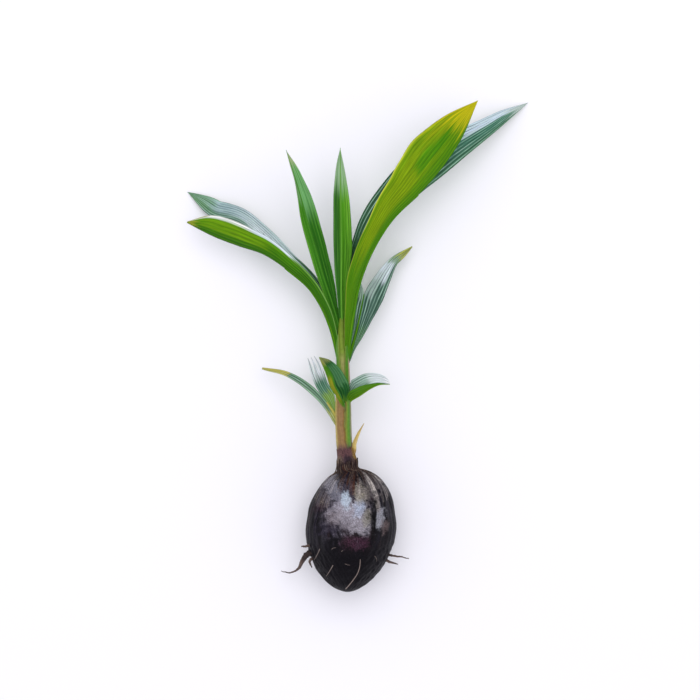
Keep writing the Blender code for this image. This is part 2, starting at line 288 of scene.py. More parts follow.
@dataclass(frozen=True)
class Blush:
    """A soft-edged patch of another colour."""

    colour: str
    along: tuple[float, float]      # from the stem end, as shares of the length
    across: tuple[float, float]     # from the midrib to the margin, as shares of the width
    strength: float = 1.0
    wax_and_sheen: float = 0.0                # how much pale whitening lies on it: waxy bloom, and painted sheen on the waxed faces
    soft: tuple[float, float] = (0.08, 0.15)


@dataclass(frozen=True)
class Tones:
    """The colours of one face: a ramp across it, and patches over that."""

    across: tuple[tuple[float, str], ...]
    blushes: tuple[Blush, ...] = ()
    wax_and_sheen: float = 0.0
    streaks: float = 0.0            # how many veins wide the ragged borders of the patches are

    def paint(self, along: Array, across: Array) -> Array:
        """Return the colour at each place, with the pale whitening of bloom and painted sheen as alpha.

        Args:
            along: Shares of the length.
            across: Shares of the width, of the same shape.

        Returns:
            Linear colours in a last axis of four.
        """
        stops = [place for place, _ in self.across]
        codes = np.array([linear(code) for _, code in self.across])
        channels = [np.interp(across, stops, codes[:, c]) for c in range(3)]
        colour = np.stack([*channels, np.full(across.shape, self.wax_and_sheen)], axis=-1)
        ragged = along
        if self.streaks:
            veins = np.stack([across * self.streaks, along * 3.0], axis=-1)
            ragged = along + 0.035 * ripple(veins, 1.6, 7) + 0.02 * ripple(veins, 0.7, 8)
        for blush in self.blushes:
            weight = window(ragged, *blush.along, blush.soft[0]) * window(across, *blush.across, blush.soft[1])
            weight = (weight * blush.strength)[..., None]
            target = np.array([*linear(blush.colour)[:3], blush.wax_and_sheen])
            colour = colour * (1.0 - weight) + target * weight
        return colour


@dataclass(frozen=True)
class LeafSkin:
    """The skin of a palm leaf, grown in narrow pleats with fine veins between them; each pleat has a dark line of
    painted shade in its valley and a pale line of painted highlight on its crest.

    The pattern's first coordinate counts the pleats and the second runs along them, in
    centimetres.  Real veins are half a millimetre apart, which is finer than the render shows, so
    they are drawn three to a pleat.
    """

    name: str
    crest_highlight_colour: str           # of the pale line on each pleat's crest, a painted highlight
    crest_strength: float
    furrow_shade_colour: str          # of the dark line between two pleats, painted shade of the valley
    furrow_strength: float
    # the pale colour that waxy bloom and painted sheen whiten towards
    wax_and_sheen_colour: str
    roughness: tuple[float, float]
    specular: float
    coat: float
    bump_mm: float

    def build(self) -> bpy.types.Material:
        """Return the finished material, which reads the mesh's tone and pattern."""
        material = bpy.data.materials.new(self.name)
        material.use_nodes = True
        tree = material.node_tree
        shader = tree.nodes["Principled BSDF"]
        tone = add_node(tree, "ShaderNodeAttribute", {"attribute_name": "tone"})
        place = add_node(tree, "ShaderNodeUVMap", {"uv_map": "pattern"})
        split = add_node(tree, "ShaderNodeSeparateXYZ", links={0: place.outputs[0]})

        # Streaks that are narrow across the pleats and long along them make each line uneven.
        stretched = add_node(tree, "ShaderNodeVectorMath", {"operation": "MULTIPLY", 1: (1.3, 0.14, 1.0)},
                             {0: place.outputs[0]})
        streaks = add_node(tree, "ShaderNodeTexNoise", {"Scale": 1.0, "Detail": 4.0, "Roughness": 0.65},
                           {"Vector": stretched.outputs[0]})
        turn = add_node(tree, "ShaderNodeMath", {"operation": "MULTIPLY", 1: FULL_TURN}, {0: split.outputs["X"]})
        wave = add_node(tree, "ShaderNodeMath", {"operation": "COSINE"}, {0: turn.outputs[0]})
        # A dark line of painted shade in each valley and a pale line of painted highlight on each crest.
        furrow_line = add_node(tree, "ShaderNodeMapRange", {"From Min": 0.1, "From Max": 0.95,
                                                            "interpolation_type": "SMOOTHSTEP"},
                               {"Value": wave.outputs[0]})
        crest_line = add_node(tree, "ShaderNodeMapRange", {"From Min": -0.45, "From Max": -0.98,
                                                           "interpolation_type": "SMOOTHSTEP"},
                              {"Value": wave.outputs[0]})
        furrow_share = add_node(tree, "ShaderNodeMapRange", {"From Min": 0.62, "From Max": 0.40,
                                                             "To Max": self.furrow_strength},
                                {"Value": streaks.outputs["Fac"]})
        crest_share = add_node(tree, "ShaderNodeMapRange", {"From Min": 0.36, "From Max": 0.60,
                                                            "To Max": self.crest_strength},
                               {"Value": streaks.outputs["Fac"]})
        furrow = add_node(tree, "ShaderNodeMath", {"operation": "MULTIPLY"},
                          {0: furrow_line.outputs[0], 1: furrow_share.outputs[0]})
        crest = add_node(tree, "ShaderNodeMath", {"operation": "MULTIPLY"},
                         {0: crest_line.outputs[0], 1: crest_share.outputs[0]})
        fine = add_node(tree, "ShaderNodeMath", {"operation": "MULTIPLY", 1: 3.0}, {0: turn.outputs[0]})
        vein = add_node(tree, "ShaderNodeMath", {"operation": "SINE"}, {0: fine.outputs[0]})

        cloud = add_node(tree, "ShaderNodeMapRange", {"From Min": 0.3, "From Max": 0.6, "To Min": 0.35},
                         {"Value": streaks.outputs["Fac"]})
        # Pale whitening from the tone's alpha: waxy bloom, and painted sheen on the waxed faces.
        wax_and_sheen = add_node(tree, "ShaderNodeMath", {"operation": "MULTIPLY"},
                       {0: tone.outputs["Alpha"], 1: cloud.outputs[0]})
        waxed = add_node(tree, "ShaderNodeMix", {"data_type": "RGBA", 7: linear(self.wax_and_sheen_colour)},
                         {0: wax_and_sheen.outputs[0], 6: tone.outputs["Color"]})
        furrowed = add_node(tree, "ShaderNodeMix", {"data_type": "RGBA", 7: linear(self.furrow_shade_colour)},
                            {0: furrow.outputs[0], 6: waxed.outputs[2]})
        crested = add_node(tree, "ShaderNodeMix", {"data_type": "RGBA", 7: linear(self.crest_highlight_colour)},
                           {0: crest.outputs[0], 6: furrowed.outputs[2]})
        narrow = add_node(tree, "ShaderNodeVectorMath", {"operation": "MULTIPLY", 1: (4.5, 0.22, 1.0)},
                          {0: place.outputs[0]})
        threads = add_node(tree, "ShaderNodeTexNoise", {"Scale": 1.0, "Detail": 3.0, "Roughness": 0.6},
                           {"Vector": narrow.outputs[0]})
        uneven = add_node(tree, "ShaderNodeMapRange", {"From Min": 0.34, "From Max": 0.66,
                                                       "To Min": 0.74, "To Max": 1.22},
                          {"Value": threads.outputs["Fac"]})
        shade = add_node(tree, "ShaderNodeMath", {"operation": "MULTIPLY_ADD", 1: 0.04},
                         {0: vein.outputs[0], 2: uneven.outputs[0]})
        colour = add_node(tree, "ShaderNodeVectorMath", {"operation": "SCALE"},
                          {0: crested.outputs[2], "Scale": shade.outputs[0]})

        rough = add_node(tree, "ShaderNodeMapRange", {"To Min": self.roughness[0], "To Max": self.roughness[1]},
                         {"Value": streaks.outputs["Fac"]})
        height = add_node(tree, "ShaderNodeMath", {"operation": "MULTIPLY_ADD", 1: 0.3},
                          {0: vein.outputs[0], 2: streaks.outputs["Fac"]})
        bump = add_node(tree, "ShaderNodeBump", {"Strength": 0.6, "Distance": self.bump_mm * MILLIMETRE},
                        {"Height": height.outputs[0]})
        shader.inputs["IOR"].default_value = 1.45
        shader.inputs["Specular IOR Level"].default_value = self.specular
        shader.inputs["Coat Weight"].default_value = self.coat
        shader.inputs["Coat Roughness"].default_value = 0.25
        tree.links.new(colour.outputs[0], shader.inputs["Base Color"])
        tree.links.new(rough.outputs[0], shader.inputs["Roughness"])
        tree.links.new(bump.outputs[0], shader.inputs["Normal"])
        return material


@dataclass(frozen=True)
class FibreSkin:
    """A skin with lengthwise fibres: husk, dried sheath, coir, root bark or papery scale.

    The pattern's first coordinate runs round the piece and the second along it, both in
    millimetres, so the fibres' spacing is a real one.
    """

    name: str
    spacing_mm: float           # between fibres
    length_mm: float            # of a streak
    dark: float                 # how dark the furrows between fibres are, as a share of the tone
    light: float                # how light the fibres' tops are
    roughness: tuple[float, float]
    specular: float
    coat: float
    bump_mm: float
    grain_mm: float = 3.0       # size of the specks over the fibres
    grain: float = 0.15         # how strong the specks are

    def build(self) -> bpy.types.Material:
        """Return the finished material, which reads the mesh's tone and pattern."""
        material = bpy.data.materials.new(self.name)
        material.use_nodes = True
        tree = material.node_tree
        shader = tree.nodes["Principled BSDF"]
        tone = add_node(tree, "ShaderNodeAttribute", {"attribute_name": "tone"})
        place = add_node(tree, "ShaderNodeUVMap", {"uv_map": "pattern"})
        stretched = add_node(tree, "ShaderNodeVectorMath",
                             {"operation": "MULTIPLY", 1: (1 / self.spacing_mm, 1 / self.length_mm, 1.0)},
                             {0: place.outputs[0]})
        fibres = add_node(tree, "ShaderNodeTexNoise", {"Scale": 1.0, "Detail": 4.0, "Roughness": 0.65,
                                                       "Distortion": 0.4},
                          {"Vector": stretched.outputs[0]})
        specks = add_node(tree, "ShaderNodeTexNoise", {"Scale": 1 / self.grain_mm, "Detail": 3.0},
                          {"Vector": place.outputs[0]})
        shade = add_node(tree, "ShaderNodeMapRange", {"From Min": 0.32, "From Max": 0.68,
                                                      "To Min": self.dark, "To Max": self.light},
                         {"Value": fibres.outputs["Fac"]})
        speckle = add_node(tree, "ShaderNodeMapRange", {"From Min": 0.35, "From Max": 0.65,
                                                        "To Min": 1 - self.grain, "To Max": 1 + self.grain},
                           {"Value": specks.outputs["Fac"]})
        both = add_node(tree, "ShaderNodeMath", {"operation": "MULTIPLY"},
                        {0: shade.outputs[0], 1: speckle.outputs[0]})
        colour = add_node(tree, "ShaderNodeVectorMath", {"operation": "SCALE"},
                          {0: tone.outputs["Color"], "Scale": both.outputs[0]})
        rough = add_node(tree, "ShaderNodeMapRange", {"From Min": 0.3, "From Max": 0.7,
                                                      "To Min": self.roughness[1], "To Max": self.roughness[0]},
                         {"Value": fibres.outputs["Fac"]})
        bump = add_node(tree, "ShaderNodeBump", {"Strength": 0.7, "Distance": self.bump_mm * MILLIMETRE},
                        {"Height": fibres.outputs["Fac"]})
        shader.inputs["IOR"].default_value = 1.5
        shader.inputs["Specular IOR Level"].default_value = self.specular
        shader.inputs["Coat Weight"].default_value = self.coat
        shader.inputs["Coat Roughness"].default_value = 0.15
        tree.links.new(colour.outputs[0], shader.inputs["Base Color"])
        tree.links.new(rough.outputs[0], shader.inputs["Roughness"])
        tree.links.new(bump.outputs[0], shader.inputs["Normal"])
        return material


# The waxed upper face of a palm leaf: dark blue-green furrows of painted shade, with pale crests of painted highlight.
WAXED_LEAF = LeafSkin("waxed_palm_leaf_upper", "#a3c8b4", 0.85, "#123c28", 0.85, "#dbe4ee",
                      (0.25, 0.45), 0.20, 0.05, 0.5)
# The lower face has no thick wax, so it is a plain yellower green with soft streaks.
MATTE_LEAF = LeafSkin("matte_palm_leaf_underside", "#8fae1c", 0.22, "#2a5c05", 0.45, "#cfdcae",
                      (0.45, 0.65), 0.07, 0.0, 0.4)
# Young folded leaves: satin, with narrow dark furrows of painted shade.
SPEAR_LEAF = LeafSkin("young_palm_leaf", "#7fb548", 0.22, "#175211", 0.55, "#c4d6bd",
                      (0.40, 0.58), 0.10, 0.0, 0.4)
# The husk's outer skin, wet and smooth over coarse fibre; its shine is painted into the tone as sheen patches, and the
# material itself reflects little.
WET_HUSK = FibreSkin("wet_coconut_husk", 1.2, 5.0, 0.72, 1.25, (0.35, 0.60), 0.05, 0.0, 0.7, 1.5, 0.70)
LEAF_SHEATH = FibreSkin("rolled_leaf_sheath", 1.6, 40.0, 0.82, 1.16, (0.42, 0.60), 0.10, 0.0, 0.35, 5.0, 0.10)
# The collar and the loose coir are dry bast fibre without any skin.
COIR = FibreSkin("dry_coir_fibre", 1.1, 22.0, 0.55, 1.35, (0.65, 0.90), 0.06, 0.0, 0.6, 2.0, 0.30)
PAPERY_SCALE = FibreSkin("papery_scale_leaf", 1.2, 18.0, 0.82, 1.12, (0.50, 0.65), 0.20, 0.0, 0.25, 3.0, 0.10)
ROOT_BARK = FibreSkin("root_bark", 1.0, 8.0, 0.60, 1.35, (0.55, 0.80), 0.08, 0.0, 0.4, 1.5, 0.25)


@dataclass(frozen=True)
class Lobe:
    """One half of a leaf's blade, from the midrib out to its margin."""

    free_edge: Points                   # its inner edge from the cleft out to the lobe's tip
    widths: tuple[float, ...]           # across the blade, at even steps from the stem to the tip
    spread: tuple[float, float]         # degrees from straight right of the midrib, towards the zenith
    bulge: float                        # how far it bows out of flat, as a share of its width
    pleats: int
    upper: Tones
    under: Tones
    teeth: int = 0                      # torn tips at the lobe's end
    tooth_depth: float = 0.0            # as a share of the lobe's length

    THICKNESS = 0.8
    PLEAT_DEPTH = 0.45
    ROWS = 150
    COLUMNS_PER_PLEAT = 7

    def shell(self, rib: Points, upper_is_over: bool, seed: int) -> Shell:
        """Build the lobe as a thin closed sheet.

        Args:
            rib: The midrib's points, from inside the stem to the cleft.
            upper_is_over: Whether the leaf's upper face is the sheet's over face.
            seed: Chooses the waves of its margin.

        Returns:
            The sheet, with its over face first round each ring.
        """
        line = smooth_line(list(rib) + list(self.free_edge), 401)
        steps = np.linspace(0.0, 1.0, len(line))
        right, above = cross_frames(line)
        angle = np.radians(self.spread[0] + (self.spread[1] - self.spread[0]) * steps)[:, None]
        outward = np.cos(angle) * right + np.sin(angle) * above
        face = -np.sin(angle) * right + np.cos(angle) * above
        shares = np.linspace(0.0, 1.0, len(self.widths))
        width = np.maximum(smooth_values(np.array(self.widths, float), shares, steps)[:, 0], 0.25)
        length = distances_along(line)[-1]

        columns = self.pleats * self.COLUMNS_PER_PLEAT + 1
        across = np.linspace(0.0, 1.0, columns)[None, :]
        reach = np.ones((1, columns))
        if self.teeth:
            reach = 1.0 - self.tooth_depth * (1.0 - np.abs(np.sin(math.pi * self.teeth * across))) ** 0.8
        along = np.linspace(0.0, 1.0, self.ROWS)[:, None] * reach
        across = np.broadcast_to(across, along.shape)

        def at(values: Array) -> Array:
            """Return a per-step quantity at each place of the sheet."""
            return np.stack([np.interp(along, steps, values[:, axis]) for axis in range(values.shape[1])], -1)

        reach_out = at(width[:, None]) * across[..., None]
        normal = unit(at(face))
        bow = self.bulge * at(width[:, None]) * (4 * across * (1 - across))[..., None]
        pleat_room = np.clip(at(width[:, None])[..., 0] / (self.pleats * 5.0), 0.0, 1.0) * window(
            across, 0.12, 0.97, 0.12)
        pleat = -self.PLEAT_DEPTH * np.cos(FULL_TURN * self.pleats * across) * pleat_room
        wave = 1.1 * ripple(along[..., None] * length, 70.0, seed) * across ** 2
        sheet = at(line) + reach_out * at(outward) + (bow + (pleat + wave)[..., None]) * normal
        taper = np.sqrt(1.0 - np.linspace(0.0, 1.0, self.ROWS) ** 16)[:, None]
        half = 0.5 * self.THICKNESS * ((1.0 - 0.5 * across ** 2) * taper)[..., None]
        rings = np.concatenate([sheet + half * normal, (sheet - half * normal)[:, ::-1]], axis=1)

        pattern = np.stack([across * self.pleats, along * length / 10.0], axis=-1)
        pattern = np.concatenate([pattern, pattern[:, ::-1], pattern[:, :1]], axis=1)
        over, below = (Side.UPPER, Side.UNDER) if upper_is_over else (Side.UNDER, Side.UPPER)
        tones = {Side.UPPER: self.upper.paint(along, across), Side.UNDER: self.under.paint(along, across)}
        colour = np.concatenate([tones[over], tones[below][:, ::-1]], axis=1)
        slots = np.concatenate([np.full(columns, over.value), np.full(columns, below.value)])
        return Shell(rings, pattern, colour, slots)


@dataclass(frozen=True)
class PalmLeaf:
    """A leaf with its midrib, which goes on down as the petiole."""

    name: str
    rib: Points
    rib_radii: tuple[float, float]
    lobes: tuple[Lobe, ...]
    skins: tuple[LeafSkin, LeafSkin]
    rib_tones: Tones
    seed: int = 1

    RIB_SIDES = 16

    def upper_is_over(self, number: int) -> bool:
        """Return whether a lobe's over face looks into the fold, so that it is the upper one."""
        own, other = (self.lobes[at].spread[0] for at in (number, 1 - number))
        return math.sin(math.radians(other - own)) > 0.0

    def midrib(self) -> Shell:
        """Return the midrib as a tapering tube, sunk a little into the fold."""
        rings = max(24, round(distances_along(self.rib)[-1] / 2.5))
        line = smooth_line(self.rib, rings)
        along = np.linspace(0.0, 1.0, rings)
        radii = np.interp(along, (0.0, 1.0), self.rib_radii)
        places = tube(line, radii, self.RIB_SIDES)
        sides = np.arange(self.RIB_SIDES + 1) / self.RIB_SIDES
        grid_along, grid_sides = np.meshgrid(along, sides, indexing="ij")
        pattern = np.stack([grid_sides * 2.0, grid_along * distances_along(line)[-1] / 10.0], axis=-1)
        colour = self.rib_tones.paint(grid_along[:, :-1], grid_sides[:, :-1])
        return Shell(places, pad_ends(pattern), pad_ends(colour), np.ones(self.RIB_SIDES, int))

    def build(self) -> bpy.types.Object:
        """Build the leaf in place of its CAD node."""
        shells = [lobe.shell(self.rib, self.upper_is_over(number), self.seed + number)
                  for number, lobe in enumerate(self.lobes)]
        materials = [skin.build() for skin in self.skins]
        return make_piece(self.name + "_blades", [*shells, self.midrib()], materials, (self.name,))


HIDDEN_UPPER = Tones(((0.0, "#285a3e"), (0.5, "#30684c"), (1.0, "#457a5c")), wax_and_sheen=0.12)
HIDDEN_UNDER = Tones(((0.0, "#3c7710"), (0.5, "#488313"), (1.0, "#588d1c")))


def plain(code: str) -> Tones:
    """Return tones of one colour, for a narrow midrib."""
    return Tones(((0.0, code), (1.0, code)))


GREEN_RIB = plain("#3f780c")
BIG_LEAF_SKINS = (WAXED_LEAF, MATTE_LEAF)
SPEAR_SKINS = (SPEAR_LEAF, SPEAR_LEAF)


def leaves() -> tuple[PalmLeaf, ...]:
    """Return the plant's leaves, with the colours that each face shows."""
    left = PalmLeaf(
        "leaf_left",
        ((-7, 148, 72), (-15, 186, 72), (-28, 235, 72), (-44, 271, 73), (-61, 296, 74), (-102, 331, 73)),
        (3.6, 1.2),
        (
            Lobe(((-140, 355, 69), (-176, 367, 64), (-218, 383, 57), (-265, 407, 48)),
                 (6, 8, 11, 15, 17.6, 21.1, 26, 31.5, 37, 43, 43, 33, 3), (50, 32), 0.10, 6, HIDDEN_UPPER,
                 # The near-white strip along the rolled margin and the light blue patch on it are the margin's own
                 # paler colour brightened by a painted highlight.
                 Tones(((0.0, "#2f6206"), (0.3, "#326c06"), (0.62, "#3b7808"), (0.80, "#44800a"),
                        (0.865, "#7fae30"), (0.885, "#dfe2dc"), (0.93, "#c3ccd0"), (0.95, "#e6e6e6"),
                        (1.0, "#e6e4e4")),
                       (Blush("#64900a", (0.66, 0.92), (0.42, 0.80), 0.85),
                        Blush("#c4d4e4", (0.50, 0.68), (0.89, 1.0), 0.7, soft=(0.05, 0.03)),
                        Blush("#2c660c", (0.0, 0.46), (0.3, 1.0), 0.95, soft=(0.08, 0.15)),
                        Blush("#7fb548", (0.20, 0.48), (0.96, 1.0), 0.7, soft=(0.05, 0.03)),
                        Blush("#a9a83c", (0.98, 1.0), (0.0, 1.0), 0.7, soft=(0.02, 0.2))), streaks=7.0)),
            Lobe(((-140, 373, 58), (-181, 407, 38), (-229, 421, 16), (-268, 462, 0.5)),
                 (8, 9, 10.5, 15.4, 20.4, 25.8, 28.5, 27.1, 25.8, 27, 30, 27, 0), (-25, -8), -0.06, 8,
                 Tones(((0.0, "#1f5c38"), (0.5, "#2a6c50"), (1.0, "#4a8672")),
                       # The pale blue-grey to near-white patches are painted sheen and highlight on the waxed face.
                       (Blush("#8fabb8", (0.68, 0.88), (0.50, 1.0), 0.75, 0.3, (0.16, 0.2)),
                        Blush("#c6d6e2", (0.46, 0.70), (0.40, 1.0), 0.8, 0.5, (0.12, 0.15)),
                        Blush("#e2ebf4", (0.50, 0.66), (0.0, 0.6), 0.85, 0.6),
                        Blush("#1f5a24", (0.0, 0.42), (0.0, 1.0), 0.9),
                        Blush("#5c9448", (0.94, 1.0), (0.0, 1.0), 0.6)), 0.22, 7.0),
                 HIDDEN_UNDER),
        ),
        BIG_LEAF_SKINS, GREEN_RIB, 11)
    right = PalmLeaf(
        "leaf_right",
        ((-3, 161, 74), (3, 205, 77), (10, 254, 82), (21, 308, 88), (44, 363, 94), (75, 410, 98),
         (116, 449, 100)),
        (4.0, 1.2),
        (
            Lobe(((151, 488, 103), (184, 536, 106), (213, 602, 108)),
                 (6, 12, 18, 26, 32, 34, 41.5, 55.5, 67.5, 72, 62, 41, 0), (125, 162), -0.08, 12, HIDDEN_UPPER,
                 Tones(((0.0, "#3c7408"), (0.15, "#4a7f07"), (0.5, "#668a04"), (0.9, "#5a8605"),
                        (0.955, "#7f9c10"), (0.975, "#b9c23c"), (1.0, "#c3cb48")),
                       (Blush("#3c780a", (0.0, 0.38), (0.0, 0.9), 0.75, soft=(0.2, 0.2)),
                        Blush("#7c960a", (0.42, 0.72), (0.40, 0.80), 0.75, soft=(0.12, 0.15)),
                        Blush("#3c7e06", (0.70, 0.86), (0.42, 0.60), 0.85, soft=(0.05, 0.10)),
                        Blush("#9aa20c", (0.86, 1.0), (0.66, 1.0), 0.6, soft=(0.10, 0.15)),
                        Blush("#c4b814", (0.955, 1.0), (0.0, 1.0), 0.9, soft=(0.08, 0.2))), streaks=12.0)),
            Lobe(((152, 478, 88), (202, 521, 66), (254, 566, 32), (304, 612, 0.5)),
                 (8, 14, 22, 32, 43, 52, 60, 64, 62, 49, 35, 21, 0), (225, 186), 0.06, 9,
                 Tones(((0.0, "#28663a"), (0.25, "#22664a"), (0.6, "#2f765c"), (1.0, "#4a8a76")),
                       (Blush("#1b4f24", (0.0, 0.62), (0.2, 1.0), 0.9),
                        # The mint line is a painted highlight line, and the light blue patch near the tip is a painted
                        # highlight on the waxed face.
                        Blush("#86c8a0", (0.34, 0.56), (0.60, 0.66), 0.8, soft=(0.05, 0.05)),
                        Blush("#bcd2e6", (0.80, 0.97), (0.62, 1.0), 0.95, 0.6, (0.06, 0.10)),
                        Blush("#c3d0c6", (0.965, 1.0), (0.0, 1.0), 0.9, 0.4, (0.03, 0.2))), 0.05, 9.0),
                 HIDDEN_UNDER),
        ),
        BIG_LEAF_SKINS, GREEN_RIB, 23)
    rim = Tones(((0.0, "#2c6c10"), (0.5, "#3a7c14"), (0.85, "#4c8a24"), (1.0, "#6ea03c")),
                (Blush("#bcc294", (0.93, 1.0), (0.0, 1.0), 1.0, soft=(0.06, 0.2)),
                 Blush("#6f9c68", (0.78, 0.93), (0.0, 0.9), 0.6, 0.1)), streaks=4.0)
    broad = Tones(((0.0, "#1d5a08"), (0.5, "#27660e"), (1.0, "#377418")),
                  (Blush("#68a862", (0.78, 0.94), (0.1, 1.0), 0.8, 0.1, (0.22, 0.15)),
                   Blush("#205a08", (0.0, 0.50), (0.0, 1.0), 0.6),
                   Blush("#aeb98a", (0.95, 1.0), (0.0, 1.0), 0.8, soft=(0.04, 0.2))), streaks=5.0)
    spear_left = PalmLeaf(
        "spear_left",
        ((-9, 216, 76), (-17, 249, 75), (-26, 279, 76), (-37, 311, 80), (-51, 360, 90), (-65, 408, 100),
         (-78, 456, 115), (-98, 519, 132)),
        (2.2, 0.4),
        (
            Lobe((), (3, 5, 8, 9, 10, 10.8, 11, 10.8, 9.5, 5.5, 2.6, 1.8, 0), (185, 155), 0.08, 3, rim, rim),
            Lobe((), (3, 5, 7.6, 13, 16.6, 17.4, 18.5, 18.8, 19.1, 17, 12.6, 7.8, 0), (-8, 15), -0.08, 4,
                 broad, broad),
        ),
        SPEAR_SKINS, plain("#3c7c1c"), 31)
    centre = Tones(((0.0, "#3f860c"), (0.4, "#55981a"), (0.80, "#66a02c"), (1.0, "#4c8820")),
                   (Blush("#8fb488", (0.92, 1.0), (0.0, 1.0), 0.9, 0.25, (0.24, 0.2)),
                    Blush("#427f0a", (0.0, 0.42), (0.0, 1.0), 0.6, soft=(0.2, 0.2))), streaks=5.0)
    centre_dark = Tones(((0.0, "#3f7c10"), (0.3, "#2a6212"), (0.8, "#28601c"), (1.0, "#4c8434")),
                        (Blush("#8fb488", (0.92, 1.0), (0.0, 1.0), 0.8, 0.25, (0.22, 0.2)),), streaks=4.0)
    spear_centre = PalmLeaf(
        "spear_centre",
        ((-8, 243, 79), (-9, 295, 86), (-9, 361, 85), (-10, 443, 81), (-11, 528, 80)),
        (2.2, 0.4),
        (
            Lobe((), (4, 6, 7.9, 10.2, 12.1, 13.1, 13.3, 13.2, 12.8, 12, 9.6, 6, 0), (190, 195), 0.08, 3,
                 centre_dark, centre_dark),
            Lobe((), (5, 7, 9, 11, 14.4, 17.4, 17.3, 16.4, 14.9, 12.4, 8.8, 4.6, 0), (5, -10), -0.08, 4,
                 centre, centre),
        ),
        SPEAR_SKINS, plain("#5c9a2c"), 41)
    small_right = PalmLeaf(
        "leaf_small_right",
        ((-7, 160, 72), (4, 188, 65), (16, 230, 58), (23, 263, 53), (28, 289, 49)),
        (3.4, 1.0),
        (
            Lobe(((45, 318, 44), (73, 350, 36), (108, 370, 25)),
                 (4, 4.5, 6, 12, 18.1, 24.8, 32.1, 33, 28.6, 22.8, 16, 11.5, 2), (-10, -5), 0.08, 6,
                 Tones(((0.0, "#386658"), (0.5, "#265444"), (1.0, "#204c36")),
                       # The pale lilac-white and grey-green patches are painted highlights on the waxed face.
                       (Blush("#d3d8ea", (0.70, 0.83), (0.0, 0.66), 0.95, 0.6),
                        Blush("#9fb0ac", (0.55, 0.70), (0.0, 0.36), 0.7, 0.2),
                        Blush("#78966c", (0.85, 0.93), (0.0, 1.0), 0.8, soft=(0.03, 0.2)),
                        Blush("#b9ba48", (0.92, 1.0), (0.0, 1.0), 1.0, soft=(0.03, 0.2)),
                        Blush("#7f8420", (0.93, 0.98), (0.35, 0.65), 0.7, soft=(0.03, 0.2)),
                        Blush("#3a6a28", (0.0, 0.28), (0.0, 1.0), 0.7)), 0.05, 8.0),
                 HIDDEN_UNDER),
            Lobe(((26, 299, 48), (23, 308, 47)),
                 (4, 5, 7, 9, 13, 13, 0), (160, 170), -0.06, 3,
                 Tones(((0.0, "#3f6f4c"), (0.5, "#28582e"), (1.0, "#4f7f60")),
                       (Blush("#8fb096", (0.88, 1.0), (0.0, 1.0), 0.8, 0.3),), 0.10, 4.0),
                 HIDDEN_UNDER),
        ),
        BIG_LEAF_SKINS, GREEN_RIB, 53)
    low_left = PalmLeaf(
        "leaf_low_left",
        ((-8, 66, 73), (-20, 92, 73), (-33, 111, 70)),
        (2.8, 1.4),
        (
            Lobe(((-49, 130, 66), (-73, 149, 58), (-98, 161, 48), (-141, 168, 30)),
                 (5, 8.5, 9.5, 9.5, 10.4, 11.5, 11.5, 10.9, 9.9, 8.4, 7, 5.6, 3.5), (170, 170), 0.10, 3,
                 Tones(((0.0, "#5a8a5c"), (0.5, "#346038"), (1.0, "#7fa47c")),
                       (Blush("#b9ae44", (0.76, 1.0), (0.0, 1.0), 1.0, soft=(0.04, 0.2)),
                        Blush("#a9a850", (0.0, 0.20), (0.0, 1.0), 0.9, soft=(0.06, 0.2))), 0.10, 4.0),
                 HIDDEN_UNDER),
            Lobe(((-48, 131, 64), (-59, 154, 54), (-68, 184, 42)),
                 (4, 4, 4, 6, 12.9, 18.4, 19.5, 19.9, 20.9, 21.6, 21.9, 20, 16), (0, 0), -0.08, 6,
                 Tones(((0.0, "#3f7556"), (0.5, "#367050"), (1.0, "#4f8468")),
                       (Blush("#dcdce6", (0.80, 1.0), (0.0, 1.0), 1.0, 0.5, (0.20, 0.2)),
                        Blush("#7fa424", (0.0, 0.42), (0.0, 1.0), 0.9)), 0.05, 6.0),
                 HIDDEN_UNDER, 3, 0.26),
        ),
        BIG_LEAF_SKINS, plain("#b3ab58"), 61)
    low_front = PalmLeaf(
        "leaf_low_front",
        ((-6, 92, 76), (-9, 109, 87), (-16, 122, 94), (-26, 137, 99), (-32, 155, 104), (-45, 185, 110)),
        (2.6, 0.6),
        (
            Lobe((), (6, 9, 13, 19, 18, 12, 0), (70, 60), 0.08, 4, HIDDEN_UPPER,
                 Tones(((0.0, "#4f8014"), (0.5, "#3f7810"), (1.0, "#357014")),
                       (Blush("#9c9020", (0.34, 0.60), (0.10, 0.7), 0.65, soft=(0.14, 0.25)),
                        Blush("#7d6c46", (0.0, 0.14), (0.0, 1.0), 1.0, soft=(0.06, 0.2)),
                        Blush("#9c9450", (0.93, 1.0), (0.0, 1.0), 0.8)), streaks=5.0)),
            Lobe((), (4, 5, 8, 16, 23.5, 27.6, 28.2, 27.8, 25.6, 22, 18, 12, 1), (0, -10), -0.08, 6,
                 Tones(((0.0, "#245c20"), (0.4, "#185222"), (1.0, "#245c30")),
                       (Blush("#8c9058", (0.94, 1.0), (0.0, 1.0), 0.9),
                        Blush("#4c8458", (0.45, 0.80), (0.45, 1.0), 0.6, 0.05),
                        Blush("#4f7c1c", (0.0, 0.22), (0.0, 1.0), 0.9),
                        Blush("#7d6c46", (0.0, 0.12), (0.0, 1.0), 1.0, soft=(0.06, 0.2))), 0.0, 6.0),
                 HIDDEN_UNDER),
        ),
        (SPEAR_LEAF, MATTE_LEAF),
        Tones(((0.0, "#5f8a18"), (1.0, "#5f8a18")), (Blush("#857448", (0.0, 0.16), (0.0, 1.0), 1.0),)), 71)
